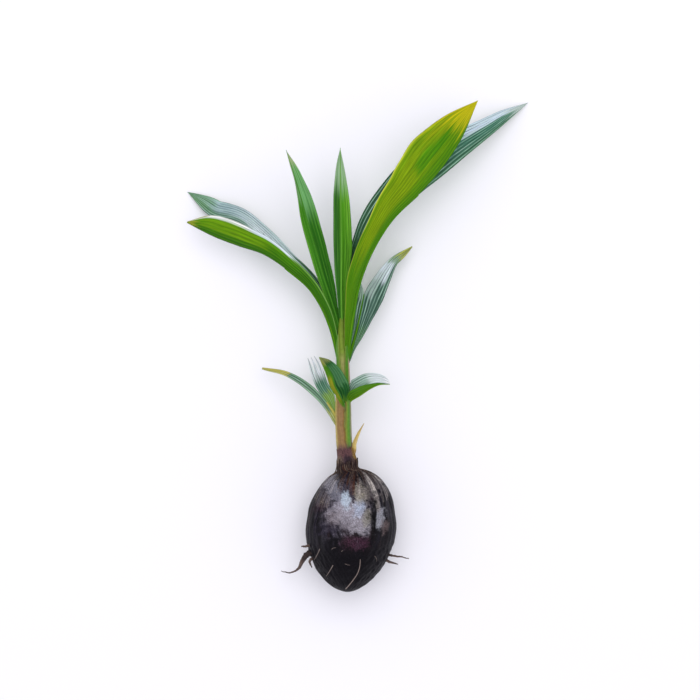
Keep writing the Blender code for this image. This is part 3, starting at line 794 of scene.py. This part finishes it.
    low_right = PalmLeaf(
        "leaf_low_right",
        ((-4, 100, 72), (6, 114, 79), (21, 123, 86), (38, 134, 90), (52, 140, 91), (70, 141, 92)),
        (2.6, 0.6),
        (
            Lobe((), (4, 7, 21, 19, 9, 3, 0), (130, 140), -0.08, 4, HIDDEN_UPPER,
                 Tones(((0.0, "#3c700e"), (0.5, "#4c7d0c"), (1.0, "#528214")),
                       (Blush("#3a7020", (0.3, 1.0), (0.6, 1.0), 0.6),), streaks=4.0)),
            Lobe((), (6, 9, 13, 18, 24, 27.9, 27.6, 27, 26, 23, 18, 13, 6), (185, 190), 0.08, 8,
                 Tones(((0.0, "#5c8a64"), (0.4, "#6c967a"), (1.0, "#92b0a0")),
                       (Blush("#dfe2e6", (0.80, 1.0), (0.0, 1.0), 1.0, 0.6, (0.22, 0.2)),
                        Blush("#4a7c2c", (0.0, 0.25), (0.0, 1.0), 0.8)), 0.18, 6.0),
                 HIDDEN_UNDER, 3, 0.14),
        ),
        BIG_LEAF_SKINS, plain("#5f8a18"), 83)
    return (left, right, spear_left, spear_centre, small_right, low_left, low_front, low_right)


@dataclass(frozen=True)
class SheathWrap:
    """A leaf sheath that clasps the stem and tapers up into its leaf's stalk."""

    name: str
    facing: float                       # degrees round the stem from the right, 90 facing up
    half_angles: tuple[float, float]    # how far it reaches round, at its foot and its top
    heights: tuple[float, float]        # from the collar
    lift: float                         # above the stem's own skin
    tones: Tones                        # across runs from one free margin to the other


@dataclass(frozen=True)
class Stem:
    """The short false stem, which is leaf sheaths rolled round each other."""

    line: Points = ((0, -14, 70), (-1, 12, 70), (-4.5, 48, 72), (-6, 98, 74), (-6, 148, 75),
                    (-8, 205, 76), (-8, 250, 77))
    radii: tuple[float, ...] = (12.0, 12.3, 12.7, 12.7, 10.8, 10.2, 5.0)
    core_inset: float = 0.8             # how much slimmer the core is than the wrapped stem
    wrap_thickness: float = 0.5
    core_tones: Tones = Tones(((0.0, "#7a8a3c"), (0.18, "#86864a"), (0.27, "#949458"), (0.34, "#88944a"),
                               (0.6, "#6f8030"), (1.0, "#7a8a3c")),
                              (Blush("#66841c", (0.80, 1.0), (0.0, 1.0), 0.8),))
    # The left one shows a straw edge and pink-brown bast, and the right ones are green with a dry rim.
    wraps: tuple[SheathWrap, ...] = (
        SheathWrap("sheath_low_left", 172, (94, 84), (22, 128), 0.8,
                   Tones(((0.0, "#7c6440"), (0.44, "#ad9d5c"), (0.60, "#b5a464"), (0.70, "#876b44"),
                          (0.90, "#8c6e4a"), (0.97, "#74592e"), (1.0, "#74682e")),
                         (Blush("#5f4448", (0.0, 0.10), (0.0, 1.0), 0.9, soft=(0.16, 0.2)),), streaks=8.0)),
        SheathWrap("sheath_low_right", -8, (88, 74), (26, 140), 0.40,
                   Tones(((0.0, "#7d7c34"), (0.06, "#6f8434"), (0.14, "#54842e"), (0.24, "#647e40"),
                          (0.33, "#948c74"), (0.48, "#948c74"), (0.7, "#5c8030"), (1.0, "#4f7826")),
                         (Blush("#4f3c40", (0.0, 0.08), (0.0, 1.0), 0.85, soft=(0.14, 0.2)),), streaks=8.0)),
        SheathWrap("sheath_high_left", 176, (80, 48), (122, 222), 0.1,
                   Tones(((0.0, "#447224"), (0.5, "#4a7a28"), (0.8, "#5a862c"), (1.0, "#7a8a40")), streaks=6.0)),
        SheathWrap("sheath_high_right", 10, (72, 40), (124, 240), 0.3,
                   Tones(((0.0, "#6f7a38"), (0.12, "#4c7c20"), (0.4, "#427a1c"), (1.0, "#4d8010")),
                         (Blush("#a08a70", (0.0, 0.46), (0.34, 0.66), 0.9, soft=(0.05, 0.08)),),
                         streaks=6.0)),
    )

    def surface(self, heights: Array) -> tuple[Array, Array, Array, Array]:
        """Return the stem's axis, its cross directions and its radius at some heights."""
        dense = smooth_line(self.line, 401)
        right, above = cross_frames(dense)
        reach = distances_along(self.line)
        radius = np.interp(np.linspace(0.0, reach[-1], 401), reach, self.radii)
        columns = np.concatenate([dense, right, above, radius[:, None]], axis=1)
        found = np.stack([np.interp(heights, dense[:, 1], columns[:, at]) for at in range(10)], axis=-1)
        return found[..., :3], found[..., 3:6], found[..., 6:9], found[..., 9]

    def core(self) -> Shell:
        """Return the innermost sheaths, a tube with fine lengthwise furrows."""
        heights = np.linspace(-13.0, 249.0, 240)
        axis, right, above, radius = self.surface(heights)
        sides = np.arange(97) / 96
        angles = sides * FULL_TURN
        grid = np.stack(np.broadcast_arrays(np.cos(angles)[None] * 12, np.sin(angles)[None] * 12,
                                            heights[:, None] * 0.12), axis=-1)
        skin = (radius[:, None] - self.core_inset + 0.25 * ripple(grid, 5.0, 3))[:, :-1]
        circle = (np.cos(angles)[None, :-1, None] * right[:, None]
                  + np.sin(angles)[None, :-1, None] * above[:, None])
        rings = close_ends(axis[:, None] + circle * skin[..., None])
        across, along = np.meshgrid(sides, np.linspace(0.0, 1.0, len(heights)))
        pattern = np.stack([across * 80.0, along * 262.0], axis=-1)
        colour = self.core_tones.paint(along[:, :-1], across[:, :-1])
        return Shell(rings, pad_ends(pattern), pad_ends(colour), np.zeros(96, int))

    def wrap(self, spec: SheathWrap) -> Shell:
        """Return one clasping sheath as a thin curved sheet with free margins."""
        heights = np.linspace(*spec.heights, 110)
        axis, right, above, radius = self.surface(heights)
        along = np.linspace(0.0, 1.0, len(heights))
        half = spec.half_angles[0] + (spec.half_angles[1] - spec.half_angles[0]) * along ** 1.5
        half = half * (1.0 + 0.04 * ripple(heights[:, None], 35.0, round(spec.heights[1])))
        across = np.linspace(0.0, 1.0, 60)
        angles = np.radians(spec.facing + half[:, None] * (1.0 - 2.0 * across[None]))
        circle = np.cos(angles)[..., None] * right[:, None] + np.sin(angles)[..., None] * above[:, None]
        curl = 0.25 * window(across, 0.0, 0.02, 0.04) + 0.25 * window(across, 0.98, 1.0, 0.04)
        outer = radius[:, None] + spec.lift + curl[None]
        over = axis[:, None] + circle * outer[..., None]
        below = axis[:, None] + circle * (outer - self.wrap_thickness)[..., None]
        rings = close_ends(np.concatenate([over, below[:, ::-1]], axis=1))
        grid_across, grid_along = np.meshgrid(across, along)
        span = math.radians(2 * spec.half_angles[0]) * 12.0
        pattern = np.stack([grid_across * span, grid_along * (heights[-1] - heights[0])], axis=-1)
        pattern = np.concatenate([pattern, pattern[:, ::-1], pattern[:, :1]], axis=1)
        paint = spec.tones.paint(grid_along, grid_across)
        colour = np.concatenate([paint, paint[:, ::-1]], axis=1)
        return Shell(rings, pad_ends(pattern), pad_ends(colour), np.zeros(120, int))

    def build(self) -> None:
        """Build the core in place of the CAD stem, and the sheaths that clasp it."""
        skin = LEAF_SHEATH.build()
        make_piece("stem_core", [self.core()], [skin], ("stem",))
        for spec in self.wraps:
            make_piece(spec.name, [self.wrap(spec)], [skin], ())


@dataclass(frozen=True)
class Patch:
    """A soft patch on the husk's front, placed as seen from above; some are colours of the skin, and others painted
    sheen, highlight and shade.
    """

    colour: str
    middle: tuple[float, float]     # X and Y from the collar
    reach: tuple[float, float]      # half its width and half its length
    lean: float = 0.0               # degrees that its length turns to the right
    strength: float = 0.9
    ridged: bool = False            # whether it lies only on the tops of the lengthwise ridges


@dataclass(frozen=True)
class HuskedNut:
    """The nut in its husk: three blunt angles, lengthwise fibres, dents and torn strips of skin."""

    length: float = 203.0
    width: float = 152.0
    depth: float = 141.0
    foot: tuple[float, float] = (1.0, -200.5)
    lean: float = 11.0                  # how far the stem end lies to the right of the foot
    bluntness: tuple[float, float] = (2.1, 1.8)     # at the stem end and at the foot
    angle_rise: float = 0.055
    rings: int = 250
    sides: int = 380
    wet_black: str = "#0f0d12"
    bruised: tuple[str, ...] = ("#1f1a28", "#2b2023", "#35323a")
    patches: tuple[Patch, ...] = (
        # Grey patches where the outer skin is whole, from a wide dim one to small bright ones: pale skin under painted
        # sheen of the overhead light, and the small blue-grey ones painted highlights.
        Patch("#4c4752", (-2, -62), (42, 44), 8, 0.8),
        Patch("#7d7780", (4, -70), (32, 26), 8, 0.9),
        Patch("#868796", (-22, -28), (13, 24), -26, 0.9),
        Patch("#97939f", (-2, -62), (26, 20), 0, 0.8),
        Patch("#8f8a94", (20, -84), (20, 17), 10, 0.85),
        Patch("#aebccd", (-1, -46), (8, 15), -6, 0.9),
        Patch("#9ea8be", (20, -57), (9, 15), 6, 0.8),
        Patch("#8f887c", (22, -34), (14, 15), 10, 0.85),
        Patch("#747064", (32, -74), (7, 14), 4, 0.7),
        Patch("#7d757c", (-20, -74), (14, 14), 0, 0.7),
        # Bruises: purple at the left, brown at the left shoulder and maroon below.
        Patch("#221d2e", (-30, -92), (20, 12), -10, 0.5),
        Patch("#746864", (-40, -46), (14, 14), -20, 0.8, True),
        Patch("#33202a", (-44, -60), (12, 7), -20, 0.5),
        Patch("#412636", (14, -113), (22, 12), 6, 0.75),
        # The right face, past a crack: a painted highlight on the face, a brown-grey patch, and a near-black band of
        # painted shade where the two faces meet.
        Patch("#8f8f99", (55, -74), (8, 18), 6, 0.95),
        Patch("#5c4f50", (62, -90), (7, 12), 8, 0.8),
        Patch("#0b0a0d", (43, -78), (4, 32), 4, 1.0),
        # Light ridges and reddish bast that fan out from under the collar.
        Patch("#565052", (42, -22), (20, 26), 30, 0.8),
        Patch("#b4aca8", (40, -17), (19, 26), 30, 1.0, True),
        Patch("#8c8482", (56, -42), (10, 24), 26, 0.9, True),
        # The grey-lilac streaks on the left shoulder are pale skin under painted sheen.
        Patch("#4f4a52", (-32, -30), (18, 24), -30, 0.6),
        Patch("#9c969a", (-28, -16), (17, 18), -34, 0.9, True),
        Patch("#3a2620", (6, -10), (22, 12), 0, 0.9, True),
        Patch("#4a2c22", (8, -26), (9, 15), 6, 0.9, True),
        Patch("#3a2a28", (-10, -22), (8, 13), -10, 0.8, True),
    )

    def radii(self, share: Array) -> tuple[Array, Array]:
        """Return how full the husk is at a share of its length, and its axis's X."""
        middle = 2.0 * share - 1.0
        power = np.where(middle > 0, *self.bluntness)
        fullness = np.maximum(1.0 - np.abs(middle) ** power, 1e-9) ** (1.0 / power)
        return fullness, self.foot[0] + self.lean * share

    def ring_shape(self, angles: Array) -> tuple[Array, Array]:
        """Return the ring's X and Z at each angle, each within -1 to 1, as in the solid."""
        full = np.arange(3600) * (FULL_TURN / 3600)

        def raw(a: Array) -> tuple[Array, Array]:
            """Return the unscaled three-angled outline."""
            rise = 1.0 + self.angle_rise * np.cos(3 * (a - math.pi / 2))
            return rise * np.cos(a), rise * np.sin(a)

        wide, high = raw(full)
        x, z = raw(angles)
        z = z * 2.0 / (high.max() - high.min())
        return x / np.abs(wide).max(), z - (high.min() * 2.0 / (high.max() - high.min()) + 1.0)

    def relief(self, share: Array, turn: Array) -> Array:
        """Return how deep the skin lies below the smooth husk, in millimetres.

        Args:
            share: Shares of the length from the foot.
            turn: Angles round the husk, in radians.

        Returns:
            Depths of zero or more.
        """
        round_place = np.stack([np.cos(turn) * 70, np.sin(turn) * 70], axis=-1)
        whole = np.concatenate([round_place, share[..., None] * self.length], axis=-1)
        stretched = np.concatenate([round_place, share[..., None] * 30.0], axis=-1)
        dents = 0.8 * (1.0 + ripple(whole, 55.0, 5))
        ridges = 0.55 * (1.0 + ripple(stretched, 9.0, 6)) * window(share, 0.35, 1.0, 0.25)
        lumps = 0.9 * (1.0 + ripple(whole, 11.0, 7)) * window(share, 0.0, 0.34, 0.10)
        degrees = np.degrees(turn) % 360
        cracks = np.zeros(share.shape)
        for centre, width, start, end, depth in ((67, 1.6, 0.60, 0.95, 2.2), (53, 1.2, 0.62, 0.93, 1.6),
                                                 (61, 1.4, 0.42, 0.66, 1.8), (38, 1.6, 0.50, 0.85, 1.4),
                                                 (118, 1.3, 0.66, 0.86, 1.2), (146, 1.6, 0.50, 0.80, 1.2),
                                                 (200, 1.8, 0.40, 0.90, 1.8), (255, 1.6, 0.35, 0.80, 1.6),
                                                 (305, 1.8, 0.45, 0.92, 1.8), (340, 1.4, 0.50, 0.80, 1.4)):
            path = centre + 2.5 * np.sin(share * 23.0 + centre)
            cracks = np.maximum(cracks, depth * window(degrees, path - width / 2, path + width / 2, width)
                                * window(share, start, end, 0.05))
        return np.maximum(dents + ridges + lumps, 0.0) + cracks

    def places(self) -> tuple[Array, Array, Array]:
        """Return the husk's rings, and the share and angle of each place."""
        steps = np.linspace(0.0, math.pi, self.rings + 2)[1:-1]
        share, turn = np.meshgrid((1.0 - np.cos(steps)) / 2, np.arange(self.sides + 1)
                                  * (FULL_TURN / self.sides), indexing="ij")
        fullness, axis = self.radii(share)
        across, upward = self.ring_shape(turn)
        depth = self.relief(share, turn) * np.minimum(fullness * 2.0, 1.0)
        x = axis + across * (fullness * self.width / 2 - depth)
        z = self.depth / 2 + upward * (fullness * self.depth / 2 - depth)
        y = self.foot[1] + self.length * share
        return np.stack([x, y, z], axis=-1), share, turn

    def paint(self, places: Array, share: Array, turn: Array) -> Array:
        """Return the husk's colour at each place, with painted sheen, highlights and shade.

        Args:
            places: The skin's places, in millimetres.
            share: Shares of the length from the foot.
            turn: Angles round the husk, in radians.

        Returns:
            Linear colours in a last axis of four.
        """
        colour = np.tile(np.array(linear(self.wet_black)), (*share.shape, 1))
        lengthwise = np.stack([np.cos(turn) * 70, np.sin(turn) * 70, share * 70], axis=-1)
        for number, code in enumerate(self.bruised):
            noise = ripple(lengthwise, 34.0 - 6 * number, 60 + number) + 0.5 * ripple(lengthwise, 9.0, 70 + number)
            weight = 0.6 * window(noise, 0.85 + 0.15 * number, 9.0, 0.7) * window(share, 0.5, 1.0, 0.2)
            colour += weight[..., None] * (np.array(linear(code)) - colour)
        # Every patch fades out towards the husk's sides, so the sides stay dark: painted shade of its roundness.
        front = window(places[..., 2], self.depth * 0.55, self.depth, 20.0)
        strands = np.concatenate([lengthwise[..., :2], share[..., None] * 40], axis=-1)
        ragged = 0.16 * ripple(strands, 10.0, 81) + 0.26 * ripple(places, 11.0, 82) + 0.22 * ripple(places, 4.5, 83)
        speckle = np.clip(0.82 + 0.22 * ripple(places, 7.0, 84) + 0.16 * ripple(places, 2.6, 85), 0.0, 1.0)
        ridge = np.clip(0.45 + 1.3 * ripple(lengthwise * (1.0, 1.0, 0.15), 5.5, 91), 0.0, 1.0)
        for patch in self.patches:
            offset = places[..., :2] - patch.middle
            lean = math.radians(patch.lean)
            along = offset[..., 0] * math.sin(lean) + offset[..., 1] * math.cos(lean)
            aside = offset[..., 0] * math.cos(lean) - offset[..., 1] * math.sin(lean)
            away = np.hypot(aside / patch.reach[0], along / patch.reach[1]) + ragged
            fade = np.clip((1.30 - away) / 0.75, 0.0, 1.0)
            weight = fade * fade * (3.0 - 2.0 * fade) * speckle * front * patch.strength
            if patch.ridged:
                weight = weight * ridge
            colour += weight[..., None] * (np.array(linear(patch.colour)) - colour)
        return colour

    def build(self) -> bpy.types.Object:
        """Build the husk in place of its CAD node."""
        places, share, turn = self.places()
        colour = self.paint(places, share, turn)[:, :-1]
        # Painted shade: the colour darkens where the cracks are deepest.
        painted_crack_shade = np.clip(self.relief(share, turn) - 3.2, 0.0, 2.0)[:, :-1, None] / 2.0
        colour[..., :3] *= 1.0 - 0.8 * painted_crack_shade
        pattern = np.stack([turn * 70.0, share * self.length], axis=-1)
        shell = Shell(close_ends(places[:, :-1]), pad_ends(pattern), pad_ends(colour),
                      np.zeros(self.sides, int))
        return make_piece("coconut_husk", [shell], [WET_HUSK.build()], ("husk",))


@dataclass(frozen=True)
class Collar:
    """The dark torn sheath round the stem's foot, and the coir that spreads from it over the husk."""

    line: Points = ((2, -13, 70), (1, 2, 70), (0, 16, 71), (-2, 28, 71.5), (-4, 38, 72))
    radii: tuple[float, ...] = (21.0, 18.0, 16.6, 15.4, 14.2)
    tones: Tones = Tones(((0.0, "#6a5430"), (0.10, "#54423a"), (0.20, "#30262c"), (0.28, "#3a2c34"),
                          (0.40, "#6c5c50"), (0.55, "#64544a"), (0.80, "#3a2d2a"), (1.0, "#6a5430")),
                         (Blush("#5f4244", (0.86, 1.0), (0.16, 0.60), 0.8, soft=(0.20, 0.1)),
                          Blush("#7f6430", (0.70, 1.0), (0.0, 0.10), 0.8, soft=(0.15, 0.05)),
                          Blush("#2a2024", (0.0, 0.40), (0.0, 1.0), 0.6, soft=(0.2, 0.2))), streaks=9.0)
    strands: int = 190
    strand_colours: tuple[str, ...] = ("#452c26", "#3a2826", "#2a2024", "#6a5a50", "#1f1a1d")

    def sleeve(self) -> Shell:
        """Return the sleeve with its ragged upper rim."""
        rings, sides = 90, 120
        line = smooth_line(self.line, rings)
        reach = distances_along(self.line)
        along, across = np.meshgrid(np.linspace(0.0, 1.0, rings), np.arange(sides + 1) / sides, indexing="ij")
        radius = np.interp(along * reach[-1], reach, self.radii)
        turn = across * FULL_TURN
        rag = ripple(np.stack([np.cos(turn) * 14, np.sin(turn) * 14, along * 4.0], axis=-1), 3.2, 9)
        radius = radius - 0.7 + 0.45 * rag
        rim = 1.0 - 0.07 * np.clip(ripple(np.stack([np.cos(turn[:1]) * 14, np.sin(turn[:1]) * 14], -1), 5.0, 4)
                                   + 0.6, 0.0, 1.6)
        places = tube(line, radius[:, :-1], sides)[1:-1]
        spine = np.linspace(0.0, 1.0, rings)
        shortened = np.clip(along * rim, 0.0, 1.0)[:, :-1]
        for side in range(sides):
            for axis in range(3):
                places[:, side, axis] = np.interp(shortened[:, side], spine, places[:, side, axis])
        pattern = np.stack([across * 95.0, along * 52.0], axis=-1)
        colour = self.tones.paint(along, across)[:, :-1]
        return Shell(close_ends(places), pad_ends(pattern), pad_ends(colour), np.zeros(sides, int))

    def coir(self, nut: HuskedNut) -> list[Shell]:
        """Return loose strands that run from the sleeve's foot down over the husk.

        Args:
            nut: The nut that they lie on.

        Returns:
            One thin tapering shell for each strand.
        """
        chance = np.random.default_rng(17)
        found = []
        for _ in range(self.strands):
            turn = chance.uniform(0.0, FULL_TURN)
            drift = chance.normal(0.0, 0.10)
            end = 1.0 - 0.16 * chance.beta(1.3, 2.2) - 0.012
            share = np.linspace(0.992, end, 12)
            angle = turn + drift * np.linspace(0.0, 1.0, 12) + 0.03 * ripple(share[:, None] * 300, 9.0, int(turn * 1e5))
            fullness, axis = nut.radii(share)
            across, upward = nut.ring_shape(angle)
            lift = chance.uniform(0.1, 1.2) * np.sin(np.linspace(0.15, math.pi - 0.1, 12)) - 1.0
            on_husk = np.stack([axis + across * (fullness * nut.width / 2 + lift),
                                nut.foot[1] + nut.length * share,
                                nut.depth / 2 + upward * (fullness * nut.depth / 2 + lift)], axis=-1)
            rise = chance.uniform(4.0, 20.0)
            start = np.array([[0.5 + 17.2 * math.cos(turn), rise, 70.5 + 17.2 * math.sin(turn)],
                              [1.0 + 18.6 * math.cos(turn), 3.0, 70.2 + 18.6 * math.sin(turn)]])
            clear = np.hypot(on_husk[:, 0] - 1.5, on_husk[:, 2] - 70.0) > 20.5
            if clear.sum() < 4:
                continue
            line = smooth_line(np.concatenate([start, on_husk[clear]]), 16)
            thick = chance.uniform(0.25, 0.6)
            rings = tube(line, thick * np.linspace(1.0, 0.25, 16), 5)
            colour = np.tile(np.array(linear(self.strand_colours[chance.integers(5)])), (18, 5, 1))
            colour[..., 3] = 0.0
            pattern = np.zeros((18, 6, 2))
            pattern[..., 0] = np.arange(6) * 0.6 + turn * 9
            pattern[..., 1] = np.linspace(0.0, 30.0, 18)[:, None]
            found.append(Shell(rings, pattern, colour, np.zeros(5, int)))
        return found

    def build(self, nut: HuskedNut) -> None:
        """Build the sleeve in place of its CAD node, and the loose coir."""
        skin = COIR.build()
        make_piece("collar_sleeve", [self.sleeve()], [skin], ("collar_sheath",))
        make_piece("coir_strands", self.coir(nut), [skin], ())


@dataclass(frozen=True)
class ScaleLeaf:
    """The papery scale beside the stem's foot: a narrow trough that ends in a spike."""

    line: Points = ((4, 8, 70), (9.5, 26, 73), (12.5, 44, 76), (18.5, 60, 80), (28, 77, 85))
    radii: tuple[float, ...] = (3.6, 4.2, 3.6, 2.3, 0.5)
    tones: Tones = Tones(((0.0, "#ccb978"), (0.3, "#bfa460"), (0.5, "#c4b070"), (1.0, "#ccb978")),
                         (Blush("#7f6030", (0.0, 0.34), (0.0, 1.0), 0.75),
                          Blush("#a8905c", (0.84, 1.0), (0.0, 1.0), 0.6)))

    def build(self) -> bpy.types.Object:
        """Build the scale in place of its CAD node."""
        rings, sides = 60, 24
        line = smooth_line(self.line, rings)
        reach = distances_along(self.line)
        along, across = np.meshgrid(np.linspace(0.0, 1.0, rings), np.arange(sides + 1) / sides, indexing="ij")
        radius = np.interp(along * reach[-1], reach, self.radii)
        trough = 1.0 - 0.35 * np.clip(np.cos(across * FULL_TURN - 2.2), 0.0, 1.0) ** 2
        wave = 0.12 * ripple(np.stack([across * 9, along * 8], axis=-1), 2.0, 2)
        places = tube(line, (radius * trough * (1.0 + wave))[:, :-1], sides)
        pattern = np.stack([across * 18.0, along * 75.0], axis=-1)
        colour = self.tones.paint(along, across)[:, :-1]
        shell = Shell(places, pad_ends(pattern), pad_ends(colour), np.zeros(sides, int))
        return make_piece("papery_scale", [shell], [PAPERY_SCALE.build()], ("scale_leaf",))


@dataclass(frozen=True)
class Root:
    """One root that stands out of the husk."""

    node: str
    line: Points
    radii: tuple[float, ...]


@dataclass(frozen=True)
class RootSystem:
    """The roots that stand out of the husk, and the fine rootlets that lie on it."""

    roots: tuple[Root, ...] = (
        Root("root_left", ((-52, -134, 70), (-65, -139, 67), (-73, -150, 58), (-79, -163, 46),
                           (-86, -170, 36), (-97, -174, 26), (-110, -172, 20)),
             (5.0, 5.4, 4.2, 2.8, 1.8, 1.2, 0.6)),
        Root("root_left_fork", ((-50, -142, 76), (-61, -149, 72), (-58, -161, 64)), (3.2, 2.4, 0.9)),
        Root("root_left_stub", ((-55, -122, 76), (-70, -125, 78), (-75, -125, 78)), (3.0, 2.0, 0.9)),
        Root("root_right", ((60, -137, 66), (76, -142, 63), (88, -144, 58), (102, -148, 50)),
             (3.2, 2.0, 1.4, 0.7)),
        Root("root_right_stub", ((56, -146, 58), (71, -153, 55), (84, -157, 50)), (3.4, 2.4, 0.8)),
    )
    # Where each rootlet lies on the husk, seen from above, and its radii at both ends.
    rootlets: tuple[tuple[tuple[tuple[float, float], ...], float, float], ...] = (
        (((-44, -126), (-48.5, -136.8), (-53.4, -146.5)), 0.7, 0.35),
        (((-22.6, -151.4), (-27.5, -161.1), (-33.9, -172.4)), 0.7, 0.35),
        (((21.5, -141), (20.7, -153.0), (17.1, -164.7), (9.4, -177.3), (-2.1, -192.9)), 0.6, 1.0),
        (((-24.8, -124.5), (-21.0, -122.2), (-17.5, -121.6)), 0.35, 0.2),
        (((-3.2, -148.1), (0.1, -149.6), (4.9, -150.4)), 0.35, 0.2),
        (((-9, -127.5), (-6.5, -126)), 0.5, 0.3),
        (((45, -137), (48, -142), (48.5, -147)), 0.35, 0.2),
    )
    bark: Tones = Tones(((0.0, "#66564f"), (0.5, "#4b3f3e"), (1.0, "#66564f")),
                        (Blush("#2c2526", (0.0, 0.25), (0.0, 1.0), 0.8),
                         Blush("#453b38", (0.85, 1.0), (0.0, 1.0), 0.7)))
    pale: Tones = Tones(((0.0, "#8c8280"), (0.5, "#75645c"), (1.0, "#8c8280")))

    def strand(self, line: Array, radii: Array, tones: Tones, seed: int) -> Shell:
        """Return a knobbly tapering strand along a line."""
        rings, sides = len(line), 14
        along, across = np.meshgrid(np.linspace(0.0, 1.0, rings), np.arange(sides + 1) / sides, indexing="ij")
        length = distances_along(line)[-1]
        knobs = 1.0 + 0.16 * ripple(along[..., None] * length, 5.0, seed) + 0.10 * ripple(
            np.stack([np.cos(across * FULL_TURN) * 3, np.sin(across * FULL_TURN) * 3, along * length], -1), 3.0, seed)
        places = tube(line, radii[:, None] * knobs[:, :-1], sides)
        pattern = np.stack([across * 12.0, along * length], axis=-1)
        colour = tones.paint(along, across)[:, :-1]
        return Shell(places, pad_ends(pattern), pad_ends(colour), np.zeros(sides, int))

    def build(self, husk: bpy.types.Object) -> None:
        """Build each root in place of its CAD node, and lay the rootlets on the husk.

        Args:
            husk: The husk that carries the rootlets.
        """
        skin = ROOT_BARK.build()
        for number, root in enumerate(self.roots):
            reach = distances_along(root.line)
            rings = max(30, round(reach[-1]))
            line = smooth_line(root.line, rings)
            walk = reach[-1] * np.linspace(0, 1, rings)[:, None]
            line[:, 2] += 0.5 * ripple(walk, 22.0, number)
            line[:, 1] += 0.5 * ripple(walk, 9.0, number + 10) * np.linspace(0, 1, rings)
            radii = np.interp(np.linspace(0.0, reach[-1], rings), reach, root.radii) * 0.88
            shell = self.strand(line, radii, self.bark, number)
            make_piece(root.node + "_bark", [shell], [skin], (root.node,))
        tree = BVHTree.FromObject(husk, bpy.context.evaluated_depsgraph_get())
        shells = []
        for number, (spots, thick, thin) in enumerate(self.rootlets):
            route = smooth_line([(x, y, 0.0) for x, y in spots], 24)
            for place in route:
                start = Vector(((place + (0, 0, 300) - MIDDLE_OF_BOX) * MILLIMETRE).tolist())
                hit = tree.ray_cast(start, Vector((0, 0, -1)))[0]
                place[2] = (hit.z / MILLIMETRE if hit else 60.0) + 0.5 * thick
            shells.append(self.strand(route, np.linspace(thick, thin, 24), self.pale, 40 + number))
        make_piece("husk_rootlets", shells, [skin], ())


@dataclass(frozen=True)
class Studio:
    """A pale floor, soft lights and a camera that looks straight down, as the photograph does."""

    lens: float = 100.0
    sensor: float = 36.0
    mm_per_pixel: float = 1.64          # on the level where the scale was read
    scale_level: float = 75.0
    frame_pixels: int = 700
    centre: tuple[float, float] = (4.92, 196.8)     # under the camera, from the collar

    def camera(self) -> None:
        """Place the camera above the plant, with the shoot pointing up in the picture."""
        data = bpy.data.cameras.new("camera")
        data.lens = self.lens
        data.sensor_width = self.sensor
        distance = self.frame_pixels * self.mm_per_pixel * self.lens / self.sensor
        camera = bpy.data.objects.new("camera", data)
        height = self.scale_level + distance
        camera.location = (np.array((*self.centre, height)) - MIDDLE_OF_BOX) * MILLIMETRE
        bpy.context.scene.collection.objects.link(camera)
        bpy.context.scene.camera = camera

    def light(self, name: str, place: tuple[float, float, float], size: tuple[float, float],
              watts: float, colour: str) -> None:
        """Hang a soft rectangular light that points at the plant.

        Args:
            name: The light's name.
            place: Its middle, in metres in the part's frame.
            size: Its width and height in metres.
            watts: Its power.
            colour: Its sRGB hex code.
        """
        data = bpy.data.lights.new(name, "AREA")
        data.shape = "RECTANGLE"
        data.size, data.size_y = size
        data.energy = watts
        data.color = linear(colour)[:3]
        lamp = bpy.data.objects.new(name, data)
        lamp.location = place
        lamp.rotation_euler = (-Vector(place)).to_track_quat("-Z", "Y").to_euler()
        bpy.context.scene.collection.objects.link(lamp)

    def floor(self) -> None:
        """Lay a plain sheet of matte pale card under the plant."""
        mesh = bpy.data.meshes.new("floor")
        mesh.from_pydata([(-4, -4, 0), (4, -4, 0), (4, 4, 0), (-4, 4, 0)], [], [(0, 1, 2, 3)])
        material = bpy.data.materials.new("matte_pale_card")
        material.use_nodes = True
        tree = material.node_tree
        shader = tree.nodes["Principled BSDF"]
        grain = add_node(tree, "ShaderNodeTexNoise", {"Scale": 3.0, "Detail": 2.0})
        tint = add_node(tree, "ShaderNodeValToRGB", {"stops": ((0.3, "#efeef5"), (0.7, "#f2f1f8"))},
                        {0: grain.outputs["Fac"]})
        tree.links.new(tint.outputs[0], shader.inputs["Base Color"])
        shader.inputs["Roughness"].default_value = 0.9
        shader.inputs["Specular IOR Level"].default_value = 0.1
        mesh.materials.append(material)
        floor = bpy.data.objects.new("floor", mesh)
        bpy.context.scene.collection.objects.link(floor)

    def build(self) -> None:
        """Build the floor, the lights, the surrounding white and the camera."""
        self.floor()
        self.camera()
        self.light("overhead_softbox", (0.1, 0.9, 3.2), (3.2, 2.8), 44.0, "#fffdfa")
        world = bpy.data.worlds.new("white_room")
        world.use_nodes = True
        background = world.node_tree.nodes["Background"]
        background.inputs["Color"].default_value = linear("#fbfbff")
        background.inputs["Strength"].default_value = 0.93
        bpy.context.scene.world = world
        bpy.context.scene.view_settings.view_transform = "Standard"


def main() -> None:
    """Build the plant from the nut up, then the studio round it."""
    Studio().build()
    nut = HuskedNut()
    husk = nut.build()
    Collar().build(nut)
    Stem().build()
    ScaleLeaf().build()
    for leaf in leaves():
        leaf.build()
    bpy.context.view_layer.update()
    RootSystem().build(husk)


if __name__ == "__main__":
    logging.basicConfig(level=logging.INFO, format="%(message)s")
    main()
    bpy.context.view_layer.update()
